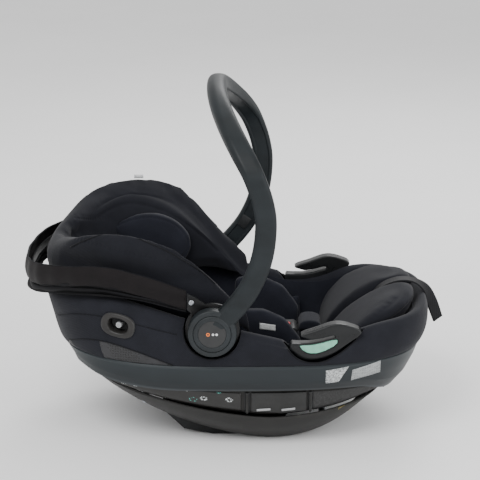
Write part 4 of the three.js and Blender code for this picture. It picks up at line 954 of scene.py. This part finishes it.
for side, word in ((-1, "right"), (1, "left")):
    relaxed(f"belt_guide_{word}", GLOSSY, "shell", "dark_plastic", 1.3, 5)

    def ripple(co, normal):
        return normal * 0.0005 * math.sin(co.x * 420 + co.z * 160) * (1 if abs(normal.y) > 0.7 else 0)

    relaxed(f"belt_guide_insert_{word}", TEAL, "shell", "green_plastic", 0.7, 3, move=ripple)

    def ring_place(u, v, side=side):
        profile = [(0, 188.2), (0, 197.6), (0.9, 198.4), (3.0, 198.9), (6.0, 198.4), (7.4, 197.0),
                   (8.1, 194.0), (8.4, 186.0), (9.4, 182.5)]
        t, y = profile[int(round(v * (len(profile) - 1)))]
        a = 2 * math.pi * u
        c, s = super_circle(a, 2.6)
        share = t / 9.4
        dx = c * lerp(BEZEL_LONG / 2 + 0.0004, 0.0145, share)
        dz = s * lerp(BEZEL_TALL / 2 + 0.0004, 0.0100, share)
        return (BEZEL_X + dx * math.cos(BEZEL_TILT) - dz * math.sin(BEZEL_TILT), side * y * MM,
                BEZEL_Z + dx * math.sin(BEZEL_TILT) + dz * math.cos(BEZEL_TILT))

    bezel = new_piece(sheet_mesh(96, 8, ring_place, closed=True), f"impact_bezel_ring_{word}", BEZEL)
    settle(thicken(along_cover(bezel, side), 0.8), "shell", "shell_plastic", f"impact_bezel_{word}")
    dish = lathe([(15.5, 183.5), (13.0, 182.0), (8.0, 181.6), (7.4, 183.4), (6.6, 183.6), (0, 183.6)],
                 BEZEL_X, BEZEL_Z, side, f"impact_socket_dish_{word}", BLACK)
    settle(along_cover(dish, side), "shell", "dark_plastic", f"impact_stud_{word}")
    stud = lathe([(4.4, 183.0), (5.0, 184.0), (5.0, 192.6), (4.4, 193.8), (2.6, 194.2), (2.2, 193.2),
                  (0, 193.0)], BEZEL_X, BEZEL_Z, side, f"impact_stud_bolt_{word}", GREY, 40)
    settle(along_cover(stud, side), "shell", "grey_plastic")

# ---------------------------------------------------------------- canopy
band_low = curve_through([(-346, 248), (-300, 264), (-220, 277), (-150, 266), (-75, 243)])
band_top = curve_through([(-346, 282), (-300, 295), (-220, 308), (-150, 297), (-75, 272)])
stack_low = curve_through([(-346, 240), (-300, 250), (-220, 262), (-150, 256), (-75, 239)])
CANOPY_POWER = 2.45


def canopy_angle(u):
    """From the near end of the band, round the head, to its far end."""
    end = math.acos(((CANOPY_END - CANOPY_X) / CANOPY_REACH) ** (CANOPY_POWER / 2))
    return lerp(-end, -2 * math.pi + end, u)


def canopy_point(u, inset, z):
    x, y = plan_point(CANOPY_X - CANOPY_REACH + inset, CANOPY_X + CANOPY_REACH - inset, CANOPY_HALF - inset,
                      canopy_angle(u), CANOPY_POWER, CANOPY_POWER)
    return x, y, z(x)


def band_place(u, v):
    ripple = 0.0008 * math.sin(u * 41) + 0.0006 * math.sin(u * 97 + 1)
    gather = 0.0016 * math.sin(v * 9 + 3 * math.sin(u * 30)) * (smooth((0.08 - min(u, 1 - u)) / 0.08))
    bulge = 0.0030 * math.sin(math.pi * min(max(v, 0), 1)) + ripple + gather
    x, y, low = canopy_point(u, 0.0034 - bulge, band_low)
    top = band_top(x)
    return x, y, lerp(low, top, v) + 0.0012 * math.sin(u * 23) * v


band = new_piece(sheet_mesh(240, 18, band_place), "canopy_band_cloth", CANOPY)
settle(thicken(band, 2.2), "canopy", "canopy_fabric", "canopy_band")
for label, share in (("top", 1.0), ("bottom", 0.0)):
    edge = [Vector(band_place(i / 240, share)) for i in range(241)]
    settle(new_piece(tube_mesh(edge, 0.0014, 8), f"canopy_band_hem_{label}", PIPING), "canopy",
           "canopy_fabric")
stitch = [Vector(band_place(i / 240, 0.86)) for i in range(241)]
settle(new_piece(tube_mesh(stitch, 0.0005, 6), "canopy_band_stitch", FOLDS), "canopy", "canopy_fabric")


def fold_place(u, v):
    """Accordion folds between the shell's rim and the band: v runs up."""
    x, _, _ = canopy_point(u, 0.004, band_low)
    low, high = stack_low(x) - 0.003, band_low(x) + 0.004
    folds = 2.5
    swing = math.cos(v * folds * 2 * math.pi)
    out = 0.0034 * swing + 0.0016 * math.sin(u * 19 + v * 5) + 0.0008 * math.sin(u * 61 + v * 9)
    x, y, _ = canopy_point(u, 0.0065 - out, band_low)
    sag = 0.0022 * math.sin(v * folds * 2 * math.pi + 0.8 + 0.8 * math.sin(u * 12))
    return x, y, lerp(low, high, v) + sag + 0.0012 * math.sin(u * 27 + v * 3)


folds = new_piece(sheet_mesh(240, 48, fold_place), "canopy_folded_cloth", FOLDS)
take_modifiers(thicken(folds, 1.0))
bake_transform(folds)
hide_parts("canopy_fabric")
for side, word in ((-1, "right"), (1, "left")):
    rivet = lathe([(4.2, 195.0), (4.2, 195.9), (3.4, 196.5), (1.6, 196.7), (1.2, 196.1), (0, 196.0)],
                  CANOPY_END + 0.008, 0.254, side, f"canopy_rivet_{word}", STEEL, 32)
    settle(rivet, "canopy", "steel")

# ---------------------------------------------------------------- headrest
wing_top = curve_through([(-314, 292), (-290, 314), (-240, 355), (-190, 374), (-150, 369), (-101, 349),
                          (-54, 313), (-6, 264),
                          (30, 231)])


def slope_wings(co, normal):
    """The wings' tops fall towards the child: high at the outer edge, lower inside."""
    outward = (abs((co.x + 0.003) / 0.295) ** 2.8 + abs(co.y / 0.167) ** 2.8) ** (1 / 2.8)
    high = smooth((co.z - 0.285) / 0.070)
    share = smooth((0.99 - outward) / 0.15) * smooth((co.z - wing_top(co.x) + 0.050) / 0.050)
    lean = 0.031 * high * smooth((abs(co.y) - 0.060) / 0.050)
    return Vector((0, math.copysign(lean, co.y), 0.008 * high - 0.036 * share))


headrest = new_piece(copy_of("headrest_cover"), "headrest_cover_padded", HEADREST)
remeshed(headrest, 0.0045, 9)
push(headrest, slope_wings)
inflate(headrest, 0.006)
relax(headrest, 3)
take_modifiers(subdivide(headrest))
headrest.data.materials.clear()
headrest.data.materials.append(HEADREST)


def tree_of(obj):
    bm = bmesh.new()
    bm.from_mesh(obj.data)
    tree = BVHTree.FromBMesh(bm)
    bm.free()
    return tree


wings = tree_of(headrest)


def cast(tree, start, direction, above=0.0):
    hit, normal, _, _ = tree.ray_cast(Vector(start), Vector(direction).normalized())
    return None if hit is None else hit - Vector(direction).normalized() * above


def cast_line(tree, starts, aim, above=0.0):
    """Where lines from starts towards aim meet a surface, leaving out misses."""
    found = [cast(tree, s, Vector(aim(s)) - Vector(s), above) for s in starts]
    return [f for f in found if f is not None]


back_rows = []
for rise in (0.0, 0.0045):
    starts = []
    for i in range(121):
        angle = lerp(-math.radians(152), math.radians(152), i / 120) + math.pi
        starts.append((-0.160 + 0.30 * math.cos(angle), 0.30 * math.sin(angle),
                       0.335 + rise + 0.012 * math.cos(3 * angle)))
    back_rows.append(cast_line(wings, starts, lambda s: (-0.160, 0, s[2] - 0.01)))
for k, row in enumerate(back_rows):
    groove(headrest, row, 0.0020, 0.0016 if k == 0 else 0.0008)
for side, word in ((-1, "right"), (1, "left")):
    rows = []
    for start, aim, below in ((0.30, -side, 0.013), (0.0, side, 0.046)):
        starts = [(x, side * start, wing_top(x) - below)
                  for x in (lerp(-0.262, -0.030, i / 90) for i in range(91))]
        rows.append([p for p in (cast(wings, q, (0, aim, 0), 0.0002) for q in starts) if p
                     and p.y * side > 0.09])
    groove(headrest, rows[1], 0.0024, 0.0022)
    settle(new_piece(tube_mesh(rows[0], 0.0013, 8), f"wing_edge_piping_{word}", PIPING), "headrest",
           "cover_fabric")
settle(headrest, "headrest", "cover_fabric", "headrest_cover")

ear_ring = closed_curve([(-232, 268), (-215, 295), (-187, 311), (-144, 319), (-98, 304), (-72, 272),
                         (-78, 240), (-110, 216), (-170, 214),
                         (-215, 232)], 90)


def ear_seam(side):
    middle = Vector((-0.155, 0, 0.262))
    pts = []
    for x, z in ear_ring:
        p = Vector((x, 0, z))
        q = p + (middle - p).normalized() * 0.009
        pts.append(Vector((q.x, side * 0.104, q.z)))
    return pts


pillow = relaxed("head_pillow", LINER, "headrest", "liner_fabric", 4.0, 8, 5, 1)
pillow_tree = tree_of(pillow)
for side in (-1, 1):
    seam = [cast(pillow_tree, (p.x, 0, p.z), (0, side, 0)) for p in ear_seam(side)]
    groove(pillow, [s for s in seam if s is not None], 0.0024, 0.0020)

for word in ("right", "left"):
    relaxed(f"shoulder_pad_{word}", LINER, "headrest", "liner_fabric", 2.2, 4, 1.5)

# ---------------------------------------------------------------- seat pads
relaxed("hip_insert", LINER, "shell", "liner_fabric", 3.5, 8, 4, 1)
relaxed("crotch_pad", LINER, "shell", "liner_fabric", 2.4, 6, 3, 1)


def creases(co, normal):
    """Two soft diagonal folds over the crest of each leg cushion."""
    total = Vector()
    for offset, depth in ((0.0, 0.0030), (0.022, 0.0022)):
        line = co.z - (0.236 - offset) - 0.30 * (co.x - 0.290) + 0.10 * (abs(co.y) - 0.09)
        total += normal * (-depth * math.exp(-((line / 0.0035) ** 2)) * smooth((co.x - 0.225) / 0.04))
    return total


for word in ("right", "left"):
    relaxed(f"leg_cushion_{word}", CUSHION, "shell", "cover_fabric", 4.0, 12, 6, 1, move=creases)

# ---------------------------------------------------------------- webbing
SLIDE_WAY = Vector((0.92, 0, -0.392)).normalized()
PANEL_START = Vector((HEAD_X + 0.058, 0, 0.226))
STRAP_Y, STRAP_ABOVE, STRAP_WIDTH = 0.050, 0.017, 0.038


def panel_frame(along, above):
    return (PANEL_START.x + SLIDE_WAY.x * along - SLIDE_WAY.z * above,
            PANEL_START.z + SLIDE_WAY.z * along + SLIDE_WAY.x * above)


def ribbon(points, thick_mm, name, material, steps=90, teeth=0.0, twist=0.0):
    """A flat strap through (x, y, z, width) points, with thin bound edges; teeth gives a fine serration."""
    line = [catmull(points, i / steps) for i in range(steps + 1)]
    profile = [(-1, -0.6), (-0.97, 0.0), (-0.9, 0.5), (0, 0.42), (0.9, 0.5), (0.97, 0.0), (1, -0.6),
               (0, -0.5)]

    def place(u, v):
        k = int(round(v * steps))
        p = Vector(line[k][:3])
        along = (Vector(line[min(k + 1, steps)][:3]) - Vector(line[max(k - 1, 0)][:3])).normalized()
        turn = Matrix.Rotation(twist * smooth(k / steps, 0.55, 0.9), 3, along)
        across = turn @ (Vector((0, 1, 0)) - along * along.y).normalized()
        up = across.cross(along) * -1
        a, b = profile[int(round(u * len(profile))) % len(profile)]
        half = line[k][3] / 2 * (1 + teeth * (k % 2))
        return p + across * a * half + up * b * thick_mm * MM

    bm = sheet_mesh(len(profile), steps, place, closed=True)
    bmesh.ops.holes_fill(bm, edges=[e for e in bm.edges if e.is_boundary])
    return new_piece(bm, name, material, 50)


def strap_at(along, y):
    x, z = panel_frame(along, STRAP_ABOVE)
    return (x, y, z, STRAP_WIDTH)


for side, word in ((-1, "right"), (1, "left")):
    strap = ribbon([strap_at(0.062, side * STRAP_Y), strap_at(0.120, side * STRAP_Y),
                    strap_at(0.180, side * STRAP_Y), strap_at(0.250, side * STRAP_Y),
                    strap_at(0.262, side * (STRAP_Y - 0.001)), (0.020, side * 0.034, 0.139, 0.030),
                    (0.042, side * 0.015, 0.144, 0.017)], 2.2,
                   f"harness_webbing_{word}", WEBBING)
    settle(strap, "shell", "webbing", f"harness_strap_{word}")
settle(ribbon([(0.136, 0, seat_z(0.132) + 0.004, 0.028), (0.134, 0, 0.118, 0.028), (0.128, 0, 0.138, 0.028),
               (0.118, 0, 0.145, 0.028), (0.1064, 0, 0.146, 0.028)], 2.2,
              "crotch_webbing", WEBBING), "shell", "webbing", "crotch_strap")
slope = math.atan2(seat_z(0.216) - seat_z(0.190), 0.026)
strap_start = (0.190 + 0.0334 * math.cos(slope) - 0.008 * math.sin(slope),
               seat_z(0.190) + 0.005 + 0.0334 * math.sin(slope) + 0.008 * math.cos(slope))
adjuster = ribbon([(strap_start[0], 0, strap_start[1], 0.024), (0.226, 0, 0.190, 0.024),
                   (0.243, 0, 0.217, 0.024), (0.270, 0, 0.231, 0.024), (0.298, 0, 0.231, 0.024),
                   (0.321, 0, 0.217, 0.024), (0.333, 0, 0.192, 0.024), (0.3439, 0, 0.162, 0.022)], 2.2,
                  "adjuster_webbing", WEBBING, 130, 0.06, math.radians(48))
settle(adjuster, "shell", "webbing", "adjuster_strap")

# ---------------------------------------------------------------- labels and small trim
def patch(name, corners, material, tree, side=-1, above=0.0004, steps=(24, 12), floor_z=None, thick_mm=0.25):
    """A thin film stuck to a side surface, between four (x, z) corners in mm, clockwise from the top left."""
    a, b, c, d = [Vector((x * MM, z * MM)) for x, z in corners]

    def place(u, v):
        q = d.lerp(c, u).lerp(a.lerp(b, u), v)
        return near_tree(tree, q.x, max(q.y, floor_z(q.x)) if floor_z else q.y, side, above)

    obj = new_piece(sheet_mesh(steps[0], steps[1], place), name, material)
    return settle(thicken(obj, thick_mm), "shell", "grey_plastic")


rail_tree = tree_of(rails)
tub_tree = tree_of(tub)
skirt_tree = tree_of(skirts)
patch("label_white_side", [(147, 142), (184, 147), (168, 120), (147, 118)], WHITE_LABEL, rail_tree)
patch("label_silver_side", [(190, 140), (236, 150), (236, 128), (188, 120)], SILVER_LABEL, rail_tree)
above_groove = add_to(groove_z, 3)
patch("label_pictograms_side", [(-182, 111), (12, 99), (12, 64), (-182, 88)], PANEL, tub_tree, above=0.0014,
      steps=(60, 10), floor_z=above_groove)
patch("panel_pebbled_side", [(127, 100), (226, 96), (212, 62), (127, 58)], PEBBLED, tub_tree, above=0.0014,
      steps=(40, 12), floor_z=above_groove)
# painted shade: a black film stands for the shade in the gap at each end of the pocket door, beside its rib
for k, x in enumerate((17, 119)):
    patch(f"door_gap_painted_shade_{k}", [(x, 100), (x + 9, 100), (x + 9, 62), (x, 62)], BLACK, tub_tree, above=0.0014,
          steps=(6, 20))
    patch(f"door_rib_{k}", [(x + 2.5, 100), (x + 6.5, 100), (x + 6.5, 62), (x + 2.5, 62)], SHELL, tub_tree,
          above=0.0026,
          steps=(4, 20), thick_mm=2.4)
care_tree = tree_of(bpy.data.objects["hip_insert_shaped"])
patch("label_care", [(42, 189), (68, 185), (68, 175), (42, 178)], CARE_LABEL, care_tree, steps=(10, 5))
for k, x in enumerate((48, 88)):
    door_tree = tree_of(bpy.data.objects["pocket_door_right_finished"])
    patch(f"door_bar_{k}", [(x - 11, 71), (x + 11, 72.5), (x + 11, 68.5), (x - 11, 67)], GREY, door_tree,
          above=0.0008, steps=(12, 3))
patch("label_yellow_round", [(188, 39), (201, 43), (204, 33), (191, 29)], WARM_SPOT, skirt_tree)

tab_mesh = bmesh.new()
bmesh.ops.create_cube(tab_mesh, size=1.0, matrix=Matrix.Translation((-0.165, 0.151, 0.3700))
                      @ Matrix.Diagonal((0.016, 0.001, 0.006, 1)))
settle(new_piece(tab_mesh, "headrest_fabric_tab", TAB), "headrest", "cover_fabric")

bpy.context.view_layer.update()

# ---------------------------------------------------------------- floor, light and camera
floor_bm = bmesh.new()
bmesh.ops.create_grid(floor_bm, x_segments=1, y_segments=1, size=6)
floor = new_piece(floor_bm, "floor", floor_recipe())

world = bpy.data.worlds.new("studio")
bpy.context.scene.world = world
world.use_nodes = True
world.node_tree.nodes["Background"].inputs["Color"].default_value = (1, 1, 1, 1)
world.node_tree.nodes["Background"].inputs["Strength"].default_value = 1.0


def area_light(name, place, aim, size, power):
    light = bpy.data.lights.new(name, "AREA")
    light.shape, light.size, light.energy = "DISK", size, power
    obj = bpy.data.objects.new(name, light)
    bpy.context.scene.collection.objects.link(obj)
    obj.location = place
    obj.rotation_euler = (Vector(aim) - Vector(place)).to_track_quat("-Z", "Y").to_euler()


area_light("key", (-0.9, -1.7, 2.2), (0, 0, 0.25), 1.4, 42)
area_light("fill", (1.8, -1.6, 1.3), (0, 0, 0.25), 1.6, 26)
area_light("rim", (0.6, 1.8, 1.9), (0, 0, 0.3), 1.2, 30)

camera_data = bpy.data.cameras.new("camera")
camera_data.lens, camera_data.sensor_width = 153, 36
camera = bpy.data.objects.new("camera", camera_data)
bpy.context.scene.collection.objects.link(camera)
target, distance, elevation = Vector((0.010, 0, 0.300)), 3.4, math.radians(16.5)
camera.location = target + Vector((0, -math.cos(elevation), math.sin(elevation))) * distance
camera.rotation_euler = (target - camera.location).to_track_quat("-Z", "Y").to_euler()
bpy.context.scene.camera = camera
